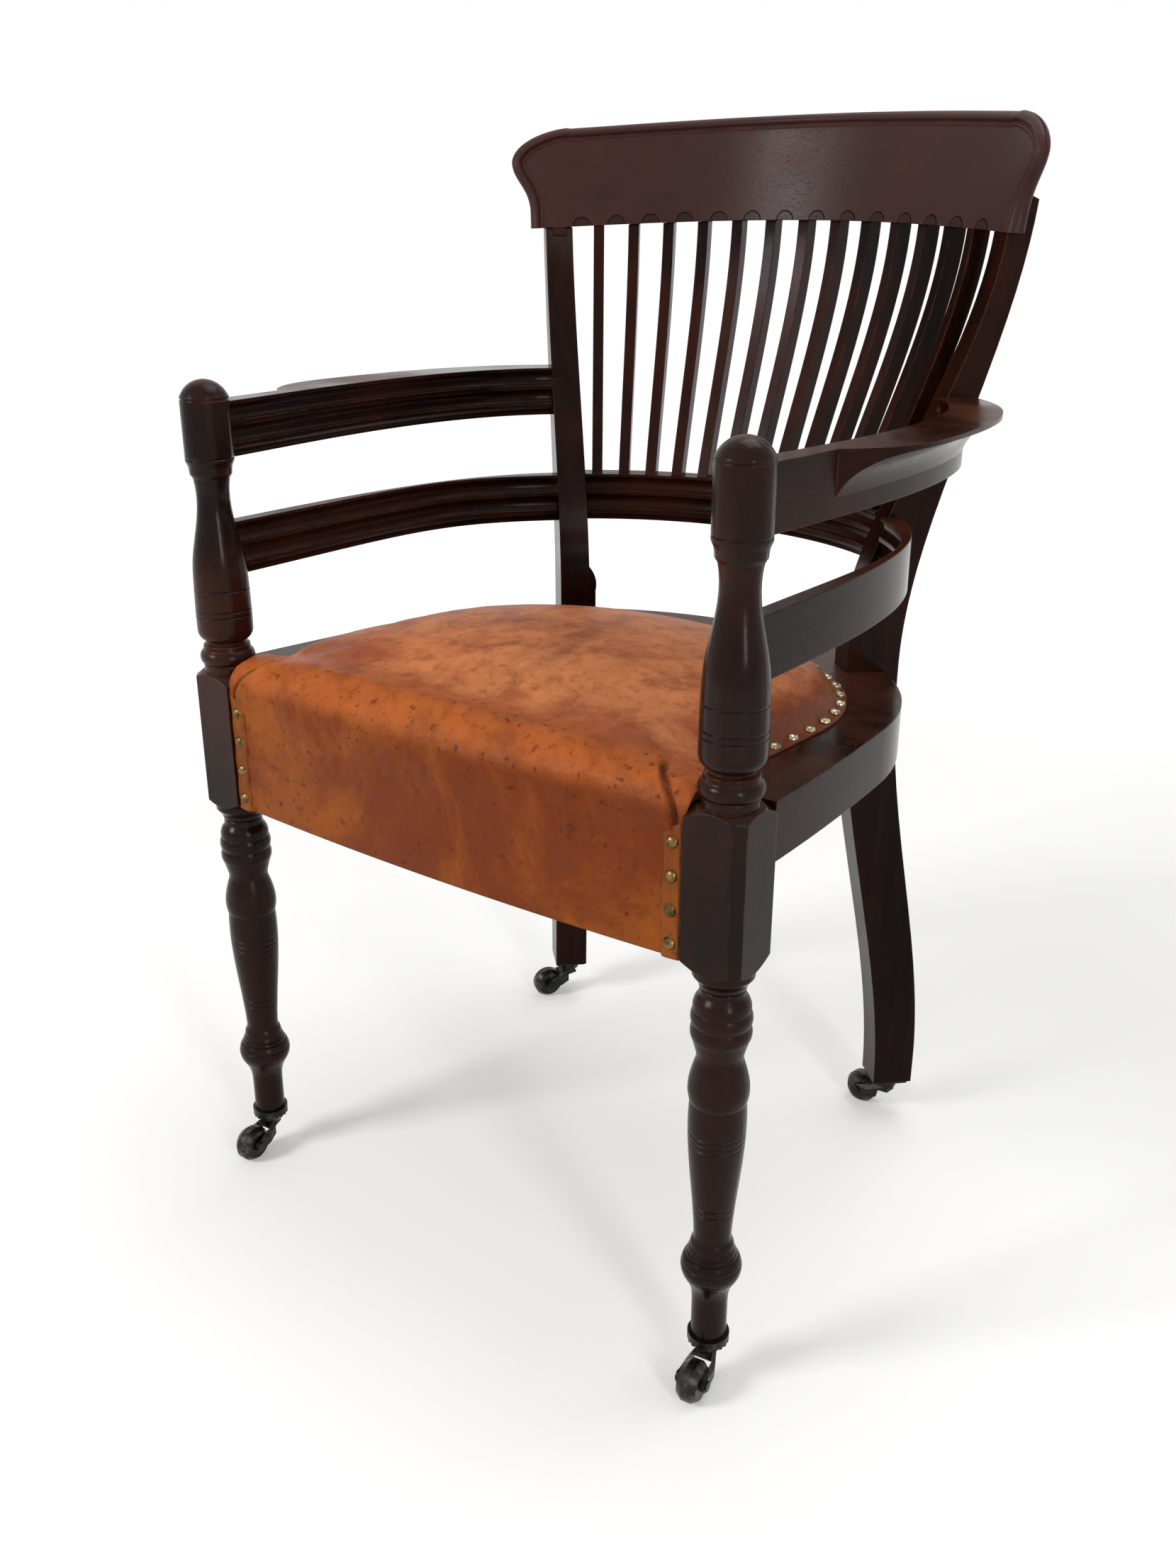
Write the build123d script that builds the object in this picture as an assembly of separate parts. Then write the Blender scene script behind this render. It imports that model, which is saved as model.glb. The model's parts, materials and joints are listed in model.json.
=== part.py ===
from build123d import *
import os
from math import atan2, cos, degrees, hypot, radians, sin, sqrt, tan

# A library armchair: turned front posts, sabre rear stiles set on the radius of a curved slatted back,
# two tiers of arms, a stuffed leather seat and four casters. Millimetres, +Z up, the sitter faces -Y and
# the sitter's left is +X. The post line is y = 0 and heights are taken from a datum just under the floor
# while the pieces are made. The finished chair is then set on the floor and centred on its own box.

# Layout
POST_SPACING = 490.0        # between the axes of the front posts
FLOOR_LEVEL = 6.0           # of the floor above the datum
POST_HEIGHT = 715.0         # datum to the top of a post
SEAT_HEIGHT = 480.0         # datum to the top of the seat rails at the posts
SEAT_RAKE = 2.0             # degrees that the seat falls towards the back
BACK_AXIS = 182.0           # from the post line to the upright axis that the back is struck from
STILE_ANGLE = 45.0          # of a stile's outer side, from straight back
FIT = 0.1                   # clearance of a scribed or mortised wood joint
SHEET = 2000.0              # reach of a cutting sheet or half space

# Front posts
BLOCK_SIZE = 45.0
BLOCK_LENGTH = 118.0
BLOCK_CHAMFER = 7.0
BLOCK_POMMEL = 8.0          # height of the turned shoulder at each end of the square
HEAD_RADIUS = 19.2
HEAD_LENGTH = 48.0
FINIAL_RADIUS = 18.4
FINIAL_HEIGHT = 12.0
COLLAR_RADIUS = 16.6
NECK_RADIUS = 13.2
BELLY_RADIUS = 22.7
BELLY_RISE = 45.0           # belly of the upper turning above the block
GROOVE_RADIUS = 15.3
TORUS_RADIUS = 22.4
RING_RADIUS = 21.8
BULB_RADIUS = 22.0
SHAFT_RADIUS = 20.8
SHAFT_FOOT_RADIUS = 13.9
ANKLE_RING_RADIUS = 22.8
ANKLE_RADIUS = 13.5
SPIGOT_RADIUS = 12.0
SPIGOT_LENGTH = 6.0

# Rear stiles: distances from the back axis to the front edge, and the depth behind it
STILE_FOOT_REACH = 277.0
STILE_WAIST_REACH = 219.5
STILE_HEAD_REACH = 324.5
STILE_FOOT_DEPTH = 37.5
STILE_WAIST_DEPTH = 46.0
STILE_HEAD_DEPTH = 23.5
STILE_LEG_THICK = 34.0
STILE_BACK_THICK = 28.0
STILE_TIP_THICK = 25.0
STILE_COVE_RISE = 13.0      # of the cove on the inner side, above the seat height
STILE_COVE_HEIGHT = 23.0
STILE_LAP = 27.0            # that a stile runs up behind the crest
STILE_OGEE_LAP = 12.0       # from the crest's lower edge to where the front edge stands upright again
STILE_HEEL = 75.0

# Crest rail
CREST_REACH = 310.0         # from the back axis to the front face at its lower edge
CREST_LEAN = 0.16           # backward lean of the front face
CREST_THICK = 24.0
CREST_TIP_THICK = 20.0
CREST_BOTTOM = 830.0
CREST_TOP = 918.5
CREST_TOP_ARCH = 2480.0     # radii of the arched edges
CREST_BOTTOM_ARCH = 3100.0
CREST_END_ANGLE = 46.0
CREST_EAR = 24.0            # the rounded ear beyond the end angle
CREST_EAR_TOP = 910.5
CREST_EAR_MIDDLE = 880.0
CREST_EAR_WAIST = 8.0
CREST_EAR_LENGTH = 54.0
CREST_BEAD = 8.0
CREST_FIELD_DEPTH = 2.0

# Back slats and the rail below them
SLAT_COUNT = 13
SLAT_PITCH = 6.0            # degrees
SLAT_WIDTH = 10.0
SLAT_DEPTH = 15.5
SLAT_HEAD_REACH = 318.0
SLAT_TENON_WIDTH = 5.0
SLAT_TENON_DEPTH = 6.5
SLAT_TENON_INSET = 6.0      # behind the slat's front edge
SLAT_TENON_LENGTH = 9.0
BACK_RAIL_REACH = 245.0
BACK_RAIL_THICK = 24.0

# Arms: each face has its place at the post, from the post's axis, and the pulls of its curve at the two ends
ARM_HEIGHT = 44.0           # of each moulded rail, the one in the back too
ARM_GAP = 51.5              # between the upper and the lower arm
ARM_SETBACK = 1.0           # of an arm's rear end behind the stile's front edge
UPPER_ARM_DROP = 17.5       # from the top of the post to the top of the arm
UPPER_ARM_DEPTH = 16.0      # of its rear end along the stile
UPPER_ARM_INNER = (-11.0, 60.0, 130.0)
UPPER_ARM_OUTER = (9.0, 40.0, 120.0)
LOWER_ARM_DEPTH = 16.0
LOWER_ARM_INNER = (-6.5, 220.0, 120.0)
LOWER_ARM_OUTER = (6.5, 130.0, 110.0)
PAD_START = 0.22            # elbow pad: where its cusp is, as a share of the arm's length
# Points of the pad's lip: out from the post's axis, and back from the post line
PAD_LIP = ((34.0, 108.0), (48.0, 140.0), (51.0, 190.0), (43.0, 272.0), (20.0, 345.0))
PAD_WIDTH = 34.0            # beyond the arm where the lip is thinnest
PAD_THICK = 3.0
PAD_COVE = 37.0             # height of the hollow below the pad
PAD_HOLLOW = 9.0
PAD_ROOT = 2.0              # that the hollow starts inside the arm
ARM_TENON_THICK = 7.0
MOULDING_DEPTH = 4.0
TENON_THICK = 9.0
TENON_LENGTH = 16.0
TENON_ROOT = 6.0            # that a tenon's solid starts inside its own piece

# Seat frame
RAIL_HEIGHT = 44.0
RAIL_REACH = 253.0          # outer edge from the back axis
RAIL_INNER_REACH = 168.0
RAIL_TANGENT_ANGLE = 83.0   # where the round of the rail begins
RAIL_SETBACK = 1.5          # behind the outer face of the block
RAIL_BOW = 2.0
REBATE_DEPTH = 10.0
FRONT_RAIL_BACK = 6.0
APRON_BOTTOM = 368.0
APRON_HEM = 4.0             # leather below the front rail
CORNER_BLOCK_REACH = 70.0
CORNER_BLOCK_HEIGHT = 30.0
REAR_BLOCK_SPREAD = 17.0    # degrees each side of the stile
REAR_BLOCK_DEPTH = 24.0

# Seat
LEATHER = 2.0
LEATHER_FRONT = 19.0        # leather front, ahead of the post line
FRONT_BOW = 8.0
LEATHER_HALF_WIDTH = 218.0
LEATHER_CORNER = 190.0      # radius of the rear corners
LEATHER_CORNER_LINE = 169.0
LEATHER_CORNER_TURN = 55.0
LEATHER_BAND = 11.0
LEATHER_GAP = 1.0           # to the post blocks
CROWN_HEIGHT = 48.0
FRONT_ROLL = 14.0
REAR_ROLL = 5.0
SIDE_ROLL = 9.0
STRAP_WIDTH = 50.0
STRAP_THICK = 2.0
STRAP_SPACING = 84.0
HESSIAN = 1.0
NAIL_RADIUS = 4.3
NAIL_HEIGHT = 2.2
NAIL_PITCH = 26.0
FRONT_NAIL_RADIUS = 4.8
FRONT_NAIL_PITCH = 25.0
FRONT_NAIL_COUNT = 4

# Casters
WHEEL_RADIUS = 16.0
WHEEL_WIDTH = 16.0
WHEEL_TREAD = 7.0           # width of the flat of the tread
WHEEL_EDGE_RADIUS = 12.8
CASTER_TRAIL = 26.0
CASTER_TURNS = {"front_left": 8.0, "front_right": 3.0, "rear_left": -100.0, "rear_right": -33.0}  # degrees
AXLE_RADIUS = 2.5
AXLE_HEAD_RADIUS = 4.0
AXLE_HEAD = 1.2
RUNNING_FIT = 0.08
WHEEL_GAP = 0.75
CHEEK_THICK = 3.0
CHEEK_RADIUS = 5.5
HORN_TOP = 37.0
HORN_RADIUS = 6.5
HORN_CROWN = 6.5
HORN_NECK = 11.0            # width of the crown behind the pintle and at its top
SWIVEL_GAP = 0.3
PINTLE_RADIUS = 4.0
PINTLE_LENGTH = 15.0
CUP_RADIUS = 15.9
CUP_TOP = 50.0
CUP_FOOT_RADIUS = 11.0
LEG_BOTTOM = 48.0
PLATE_SIZE = 31.0
PLATE_THICK = 2.5
BOSS_RADIUS = 10.0

# Derived places
POST_X = POST_SPACING / 2
AXLE_LEVEL = FLOOR_LEVEL + WHEEL_RADIUS
HALF_BLOCK = BLOCK_SIZE / 2
BLOCK_INSIDE = POST_X - HALF_BLOCK
UPPER_ARM_TOP = POST_HEIGHT - UPPER_ARM_DROP
LOWER_ARM_TOP = UPPER_ARM_TOP - ARM_HEIGHT - ARM_GAP
STILE_TOP = CREST_BOTTOM + STILE_LAP
STILE_OGEE_TOP = CREST_BOTTOM + STILE_OGEE_LAP
BACK_LINE = Axis((0, BACK_AXIS, 0), (0, 0, 1))
SIDES = {"left": 1, "right": -1}


def bow(start, end, rise):
    """An arc from start to end whose middle stands to the left of the chord by rise."""
    dx = end[0] - start[0]
    dy = end[1] - start[1]
    span = hypot(dx, dy)
    middle = ((start[0] + end[0]) / 2 - dy / span * rise, (start[1] + end[1]) / 2 + dx / span * rise)
    return ThreePointArc(start, middle, end)


def outline(*edges):
    """A closed face from edges given in order; straight edges join the ends that don't meet."""
    chain = []
    for edge, following in zip(edges, edges[1:] + edges[:1]):
        chain.append(edge)
        if (edge @ 1 - following @ 0).length > 1e-6:
            chain.append(Line(edge @ 1, following @ 0))
    return make_face(chain)


def polygon(*points):
    return make_face(Polyline(*points, close=True))


def ogee(start, end):
    """An S-curve in (reach, height) that stands upright at both ends."""
    third = (end[1] - start[1]) / 3
    return Bezier(start, (start[0], start[1] + third), (end[0], end[1] - third), end)


def ogee_at(start, end, height):
    """The reach of that S-curve at a height."""
    share = (height - start[1]) / (end[1] - start[1])
    return start[0] + (end[0] - start[0]) * share * share * (3 - 2 * share)


def radial_plane(angle):
    """The upright plane through the back axis at an angle from straight back: x runs outward and y up."""
    a = radians(angle)
    return Plane((0, BACK_AXIS, 0), x_dir=(sin(a), cos(a), 0), z_dir=(cos(a), -sin(a), 0))


def ring_point(reach, angle):
    a = radians(angle)
    return (reach * sin(a), BACK_AXIS + reach * cos(a))


def swept_round_back(face, half_angle):
    """A section in (reach, height) turned about the back axis."""
    return revolve(radial_plane(half_angle) * face, BACK_LINE, 2 * half_angle)


def upright(face, low, high):
    """A plan face raised from one height to another."""
    return extrude(Pos(0, 0, low) * face, high - low, dir=(0, 0, 1))


def seat_level(y):
    """Height of the raked seat plane."""
    return SEAT_HEIGHT - tan(radians(SEAT_RAKE)) * (y - HALF_BLOCK)


def seat_slab(low, high):
    """The space between two sheets parallel to the seat plane, at heights from it."""
    slab = Pos(0, 0, (low + high) / 2) * Box(SHEET, SHEET, high - low)
    return Pos(0, HALF_BLOCK, SEAT_HEIGHT) * Rot(-SEAT_RAKE, 0, 0) * slab


def tongue(place, width, height, length, ease=0.0, relief=0.0):
    """A tenon on a place whose z points into the mortised piece; ease and relief make it the mortise."""
    box = Box(width + 2 * ease, height + 2 * ease, length + relief + TENON_ROOT)
    return place * Pos(0, 0, (length + relief - TENON_ROOT) / 2) * box


def mortise(place, width, height, length):
    return tongue(place, width, height, length, FIT, 5 * FIT)


def mirrored(part):
    return mirror(part, about=Plane.YZ)


# Front posts
def turned_profile(grow):
    """Half section of a post in (radius, height), from the finial down to the spigot in the caster cup."""
    top = POST_HEIGHT
    block_top = SEAT_HEIGHT
    block_bottom = SEAT_HEIGHT - BLOCK_LENGTH
    foot = CUP_TOP
    shoulder = top - FINIAL_HEIGHT
    head = shoulder - 3.8
    head_end = head - HEAD_LENGTH
    belly = block_top + BELLY_RISE
    neck = head_end - 24.0
    rise = neck - belly
    dome = (FINIAL_RADIUS ** 2 + FINIAL_HEIGHT ** 2) / (2 * FINIAL_HEIGHT)
    sagitta = dome - sqrt(dome ** 2 - (FINIAL_RADIUS ** 2 + FINIAL_HEIGHT ** 2) / 4)

    def at(radius, height):
        return (radius + grow, height)

    edges = [
        bow((0, top), at(FINIAL_RADIUS, shoulder), sagitta),
        bow(at(FINIAL_RADIUS, shoulder), at(FINIAL_RADIUS - 0.3, head + 0.8), 0.8),
        Line(at(HEAD_RADIUS, head), at(HEAD_RADIUS, head_end + 1.5)),
        Line(at(COLLAR_RADIUS + 0.6, head_end - 3), at(COLLAR_RADIUS, head_end - 9)),
        Spline(
            at(NECK_RADIUS + 1.4, head_end - 12),
            at(NECK_RADIUS, neck),
            at(NECK_RADIUS + (BELLY_RADIUS - NECK_RADIUS) * 0.13, neck - rise * 0.18),
            at(NECK_RADIUS + (BELLY_RADIUS - NECK_RADIUS) * 0.82, neck - rise * 0.52),
            at(BELLY_RADIUS - 0.4, neck - rise * 0.75),
            at(BELLY_RADIUS, belly),
            at(BELLY_RADIUS - 0.1, belly - 9),
        ),
        bow(at(BELLY_RADIUS - 0.1, belly - 9), at(GROOVE_RADIUS, belly - 19), 2.0),
        Line(at(GROOVE_RADIUS, belly - 20.5), at(GROOVE_RADIUS + 3.5, belly - 22)),
        bow(at(TORUS_RADIUS - 2.9, block_top + 19), at(TORUS_RADIUS - 2.9, block_top + 7), 2.9),
        Line(at(TORUS_RADIUS - 2.6, block_top + 6), at(TORUS_RADIUS - 2.6, block_top)),
        Line(at(RING_RADIUS, block_bottom), at(RING_RADIUS, block_bottom - 5)),
        bow(at(RING_RADIUS - 1.5, block_bottom - 7), at(RING_RADIUS - 5.4, block_bottom - 20), -1.6),
        bow(at(RING_RADIUS - 3.4, block_bottom - 23), at(RING_RADIUS - 1.6, block_bottom - 33), 1.0),
        bow(at(RING_RADIUS - 1.4, block_bottom - 33), at(RING_RADIUS - 1.4, block_bottom - 44), 1.4),
        bow(at(RING_RADIUS - 1.4, block_bottom - 44), at(RING_RADIUS - 1.7, block_bottom - 56), 1.5),
        Line(at(RING_RADIUS - 1.7, block_bottom - 56), at(RING_RADIUS - 5.0, block_bottom - 68)),
        Spline(
            at(RING_RADIUS - 5.0, block_bottom - 72),
            at(BULB_RADIUS - 2.1, block_bottom - 82),
            at(BULB_RADIUS, block_bottom - 94),
            at(BULB_RADIUS - 0.8, block_bottom - 103.5),
        ),
        Spline(
            at(SHAFT_RADIUS - 0.4, block_bottom - 106),
            at(SHAFT_RADIUS, block_bottom - 136),
            at((SHAFT_RADIUS * 2 + SHAFT_FOOT_RADIUS) / 3, (block_bottom - 136 + foot + 90) / 2 + 12),
            at(SHAFT_FOOT_RADIUS, foot + 90),
        ),
        bow(at(SHAFT_FOOT_RADIUS + 0.5, foot + 87), at(SHAFT_FOOT_RADIUS + 2.4, foot + 80), 0.7),
        Line(at(SHAFT_FOOT_RADIUS + 2.6, foot + 80), at(ANKLE_RING_RADIUS - 2.6, foot + 71)),
        bow(at(ANKLE_RING_RADIUS - 2.3, foot + 71), at(ANKLE_RING_RADIUS - 2.3, foot + 54), 2.3),
        bow(at(ANKLE_RING_RADIUS - 4.0, foot + 51), at(ANKLE_RADIUS + 0.4, foot + 37), -0.8),
        Line(at(ANKLE_RADIUS, foot + 30), at(ANKLE_RADIUS, foot)),
        Line(at(SPIGOT_RADIUS, foot), at(SPIGOT_RADIUS, foot - SPIGOT_LENGTH)),
        Line((0, foot - SPIGOT_LENGTH), (0, top)),
    ]
    return outline(*edges)


def turned(grow=0.0):
    return revolve(Plane.XZ * turned_profile(grow), Axis.Z)


def post_block():
    """The square that takes the seat rails, with turned shoulders and one chamfered corner."""
    low = SEAT_HEIGHT - BLOCK_LENGTH
    corner = HALF_BLOCK * sqrt(2)
    pommel = polygon(
        (0, SEAT_HEIGHT),
        (HALF_BLOCK, SEAT_HEIGHT),
        (corner + 1, SEAT_HEIGHT - BLOCK_POMMEL),
        (corner + 1, low + BLOCK_POMMEL),
        (HALF_BLOCK, low),
        (0, low),
    )
    block = Pos(0, 0, (SEAT_HEIGHT + low) / 2) * Box(BLOCK_SIZE, BLOCK_SIZE, BLOCK_LENGTH)
    block &= revolve(Plane.XZ * pommel, Axis.Z)
    corner_cut = polygon(
        (HALF_BLOCK + 1, -HALF_BLOCK - 1),
        (HALF_BLOCK + 1, -HALF_BLOCK + BLOCK_CHAMFER),
        (HALF_BLOCK, -HALF_BLOCK + BLOCK_CHAMFER),
        (HALF_BLOCK - BLOCK_CHAMFER, -HALF_BLOCK),
        (HALF_BLOCK - BLOCK_CHAMFER, -HALF_BLOCK - 1),
    )
    return block - upright(corner_cut, low, SEAT_HEIGHT)


def front_post():
    post = Pos(POST_X, 0, 0) * (turned() + post_block())
    stem_hole = Cylinder(PINTLE_RADIUS + 1, PINTLE_LENGTH, align=(Align.CENTER, Align.CENTER, Align.MIN))
    post -= Pos(POST_X, 0, CUP_TOP - SPIGOT_LENGTH) * stem_hole
    for place in (upper_arm_post_place(), lower_arm_post_place()):
        post -= mortise(place, ARM_TENON_THICK, ARM_TENON, TENON_LENGTH)
    post -= mortise(side_rail_post_place(), TENON_THICK, RAIL_TENON, TENON_LENGTH)
    return post - mortise(front_rail_place(), TENON_THICK, FRONT_TENON, TENON_LENGTH)


# Rear stiles
FRONT_FOOT = (STILE_FOOT_REACH, LEG_BOTTOM)
FRONT_WAIST_LOW = (STILE_WAIST_REACH, SEAT_HEIGHT - 10)
FRONT_WAIST_HIGH = (STILE_WAIST_REACH, SEAT_HEIGHT + 5)
FRONT_HEAD = (STILE_HEAD_REACH, STILE_OGEE_TOP)
BACK_HEEL = (STILE_FOOT_REACH + STILE_FOOT_DEPTH, STILE_HEEL)
BACK_WAIST_LOW = (STILE_WAIST_REACH + STILE_WAIST_DEPTH, SEAT_HEIGHT - 22)
BACK_WAIST_HIGH = (STILE_WAIST_REACH + STILE_WAIST_DEPTH, SEAT_HEIGHT - 5)
BACK_HEAD = (STILE_HEAD_REACH + STILE_HEAD_DEPTH, STILE_TOP + 18)


def stile_front_at(height):
    return ogee_at(FRONT_WAIST_HIGH, FRONT_HEAD, height)


def stile_outline(grow=0.0):
    """Side view of a stile in (reach, height); grow moves its front edge forward."""

    def forward(point):
        return (point[0] - grow, point[1])

    return outline(
        ogee(forward(FRONT_FOOT), forward(FRONT_WAIST_LOW)),
        ogee(forward(FRONT_WAIST_HIGH), forward(FRONT_HEAD)),
        ogee(BACK_HEAD, BACK_WAIST_HIGH),
        ogee(BACK_WAIST_LOW, BACK_HEEL),
        Line((BACK_HEEL[0], LEG_BOTTOM), FRONT_FOOT),
    )


def stile_side_space(grow=0.0):
    """All that lies outward of a left stile's inner side, which has a cove above the seat."""
    a = radians(STILE_ANGLE)
    across = Plane((0, BACK_AXIS, 0), x_dir=(-cos(a), sin(a), 0), z_dir=(sin(a), cos(a), 0))
    cove = SEAT_HEIGHT + STILE_COVE_RISE
    side = outline(
        Line((-SHEET / 4, 0), (STILE_LEG_THICK + grow, 0)),
        bow(
            (STILE_LEG_THICK + grow, cove),
            (STILE_BACK_THICK + grow, cove + STILE_COVE_HEIGHT),
            (STILE_LEG_THICK - STILE_BACK_THICK) / -2,
        ),
        Line((STILE_TIP_THICK + grow, STILE_TOP + 30), (-SHEET / 4, STILE_TOP + 30)),
    )
    return extrude(across * side, SHEET / 4)


def stile_blank(grow=0.0):
    """A left stile's full height of wood, before the crest is let in."""
    blank = radial_plane(STILE_ANGLE) * extrude(stile_outline(grow), -(STILE_LEG_THICK + 2))
    return blank & stile_side_space(grow)


def stile_tip_round():
    """The wood taken off above the rounded tip."""
    reach = STILE_HEAD_REACH
    gone = outline(
        bow((reach - 40, STILE_TOP - 4), (reach + 50, STILE_TOP - 30), 12),
        Line((reach + 50, STILE_TOP + 60), (reach - 40, STILE_TOP + 60)),
    )
    return radial_plane(STILE_ANGLE) * extrude(gone, -(STILE_LEG_THICK + 4))


def stile_crest_place():
    """Tenon in the lower edge of the crest, in front of the stile's lap."""
    x, y = ring_point((crest_front(CREST_BOTTOM) + stile_front_at(CREST_BOTTOM)) / 2 + 8, STILE_ANGLE)
    a = radians(STILE_ANGLE)
    inward = STILE_TIP_THICK / 2
    return Plane(
        (x - inward * cos(a), y + inward * sin(a), crest_edge_at(x)),
        x_dir=(sin(a), cos(a), 0),
        z_dir=(0, 0, 1),
    )


def rear_stile():
    stile = stile_blank() - stile_tip_round() - crest_space()
    stile += tongue(stile_crest_place(), TENON_THICK - 1, TENON_THICK + 3, SLAT_TENON_LENGTH)
    for place in (upper_arm_stile_place(), lower_arm_stile_place()):
        stile -= mortise(place, ARM_TENON_THICK, ARM_TENON, TENON_LENGTH / 2)
    stile -= mortise(side_rail_stile_place(), TENON_THICK, RAIL_TENON, TENON_LENGTH / 2)
    stile -= mortise(back_rail_place(), TENON_THICK, ARM_TENON, TENON_LENGTH / 2)
    x, y = rear_caster_axis()
    stem_hole = Cylinder(PINTLE_RADIUS + 1, PINTLE_LENGTH, align=(Align.CENTER, Align.CENTER, Align.MIN))
    return stile - Pos(x, y, LEG_BOTTOM) * stem_hole


# Crest rail
def crest_front(height):
    return CREST_REACH + CREST_LEAN * (height - CREST_BOTTOM)


def crest_edge_at(x):
    """Height of the arched lower edge."""
    return CREST_BOTTOM - x * x / (2 * CREST_BOTTOM_ARCH)


def crest_band(front_depth, back_depth, half_angle):
    """A leaning shell parallel to the crest's front face; back_depth None reaches the back face."""
    low = CREST_BOTTOM - 40
    high = CREST_TOP + 20
    tip = CREST_TIP_THICK if back_depth is None else back_depth
    foot = CREST_THICK if back_depth is None else back_depth
    section = polygon(
        (crest_front(low) + front_depth, low),
        (crest_front(high) + front_depth, high),
        (crest_front(high) + tip, high),
        (crest_front(low) + foot, low),
    )
    return swept_round_back(section, half_angle)


def crest_arch(top_drop, bottom_drop):
    """The space between the arched upper and lower edges, seen from the front."""
    wide = CREST_REACH
    low = CREST_BOTTOM - bottom_drop
    high = CREST_TOP - top_drop
    low_end = low - wide * wide / (2 * CREST_BOTTOM_ARCH)
    high_end = high - wide * wide / (2 * CREST_TOP_ARCH)
    view = outline(
        ThreePointArc((-wide, low_end), (0, low), (wide, low_end)),
        ThreePointArc((wide, high_end), (0, high), (-wide, high_end)),
    )
    return extrude(Plane.XZ * view, SHEET / 2, both=True)


def crest_end(inset):
    """All that lies inside the left ear's ogee end."""
    a = radians(CREST_END_ANGLE)
    across = Plane((0, BACK_AXIS, 0), x_dir=(cos(a), -sin(a), 0), z_dir=(-sin(a), -cos(a), 0))
    waist = CREST_EAR_WAIST - inset
    ear = CREST_EAR - inset
    middle = CREST_EAR_MIDDLE - inset / 2
    top = CREST_EAR_TOP - inset
    third = (middle - CREST_BOTTOM) / 3
    view = outline(
        Line((waist, CREST_BOTTOM - 80), (waist, CREST_BOTTOM + 5)),
        Bezier(
            (waist, CREST_BOTTOM + 5),
            (waist, middle - 1.3 * third),
            (ear, middle - third),
            (ear, middle),
        ),
        Bezier(
            (ear, middle),
            (ear - 2, middle + (top - middle) * 0.55),
            (ear - CREST_EAR_LENGTH * 0.6, top - 1.5),
            (ear - CREST_EAR_LENGTH, top),
        ),
        Line((-2 * CREST_REACH, CREST_TOP + 80), (-2 * CREST_REACH, CREST_BOTTOM - 80)),
    )
    return extrude(across * view, 2 * CREST_REACH, both=True)


def crest_space():
    """The space that the crest takes from the stiles and slats."""
    return crest_band(-60, None, STILE_ANGLE + 8) & crest_arch(-20, 0)


def crest_rail():
    reach_angle = STILE_ANGLE + 12
    rail = crest_band(0, None, reach_angle) & crest_arch(0, 0)
    field = crest_band(-5, CREST_FIELD_DEPTH, reach_angle) & crest_arch(CREST_BEAD, 30)
    end = crest_end(0)
    field_end = crest_end(CREST_BEAD)
    rail = rail & end & mirrored(end)
    field = field & field_end & mirrored(field_end)
    rail -= field
    tenon_hole = mortise(stile_crest_place(), TENON_THICK - 1, TENON_THICK + 3, SLAT_TENON_LENGTH)
    return rail - [*slat_mortises(slat_crest_place), tenon_hole, mirrored(tenon_hole)]


# Slats and lower back rail
SLAT_FOOT = (STILE_WAIST_REACH, SEAT_HEIGHT + 5)
SLAT_HEAD = (SLAT_HEAD_REACH, STILE_OGEE_TOP)


def slat_angle(index):
    return (index - (SLAT_COUNT - 1) / 2) * SLAT_PITCH


def slat_place(index, height, way):
    """Middle of a slat's end on the rail that holds it, with z running into that rail."""
    angle = slat_angle(index)
    reach = ogee_at(SLAT_FOOT, SLAT_HEAD, height) + SLAT_TENON_INSET + SLAT_TENON_DEPTH / 2
    x, y = ring_point(reach, angle)
    a = radians(angle)
    return Plane((x, y, height), x_dir=(sin(a), cos(a), 0), z_dir=(0, 0, way))


def slat_crest_place(index):
    x = ring_point(SLAT_HEAD_REACH, slat_angle(index))[0]
    return slat_place(index, crest_edge_at(x), 1)


def slat_foot_place(index):
    return slat_place(index, LOWER_ARM_TOP, -1)


def slat_mortises(place):
    size = (SLAT_TENON_DEPTH, SLAT_TENON_WIDTH, SLAT_TENON_LENGTH)
    return [mortise(place(index), *size) for index in range(SLAT_COUNT)]


def back_slats():
    side = outline(
        ogee(SLAT_FOOT, SLAT_HEAD),
        ogee((SLAT_HEAD[0] + SLAT_DEPTH, SLAT_HEAD[1]), (SLAT_FOOT[0] + SLAT_DEPTH, SLAT_FOOT[1])),
    )
    blank = extrude(side, SLAT_WIDTH / 2, both=True)
    blank -= Pos(0, LOWER_ARM_TOP - SHEET / 2, 0) * Box(SHEET, SHEET, SHEET)
    crest = crest_space()
    slats = []
    for index in range(SLAT_COUNT):
        slat = radial_plane(slat_angle(index)) * blank - crest
        for place in (slat_crest_place(index), slat_foot_place(index)):
            slat += tongue(place, SLAT_TENON_DEPTH, SLAT_TENON_WIDTH, SLAT_TENON_LENGTH)
        slats.append(slat)
    return slats


def moulding(face_reach, top):
    """Section of the wood taken off a moulded face: two hollows with a ridge below each, and an undercut."""
    ridges = (top - 0.39 * ARM_HEIGHT, top - 0.78 * ARM_HEIGHT)
    starts = (top - 2.5, ridges[0] - 2.5)
    gone = Sketch()
    for start, ridge in zip(starts, ridges):
        gone += outline(
            Line((face_reach - 1, ridge + 1.5), (face_reach, ridge + 1.5)),
            bow((face_reach, ridge + 1.5), (face_reach, start), -MOULDING_DEPTH),
            Line((face_reach, start), (face_reach - 1, start)),
        )
    bottom = top - ARM_HEIGHT
    gone += outline(
        Line((face_reach - 1, bottom - 1), (face_reach + MOULDING_DEPTH, bottom - 1)),
        bow((face_reach + MOULDING_DEPTH, bottom), (face_reach, ridges[1] - 2), -1.5),
        Line((face_reach, ridges[1] - 2), (face_reach - 1, ridges[1] - 2)),
    )
    return gone


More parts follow.
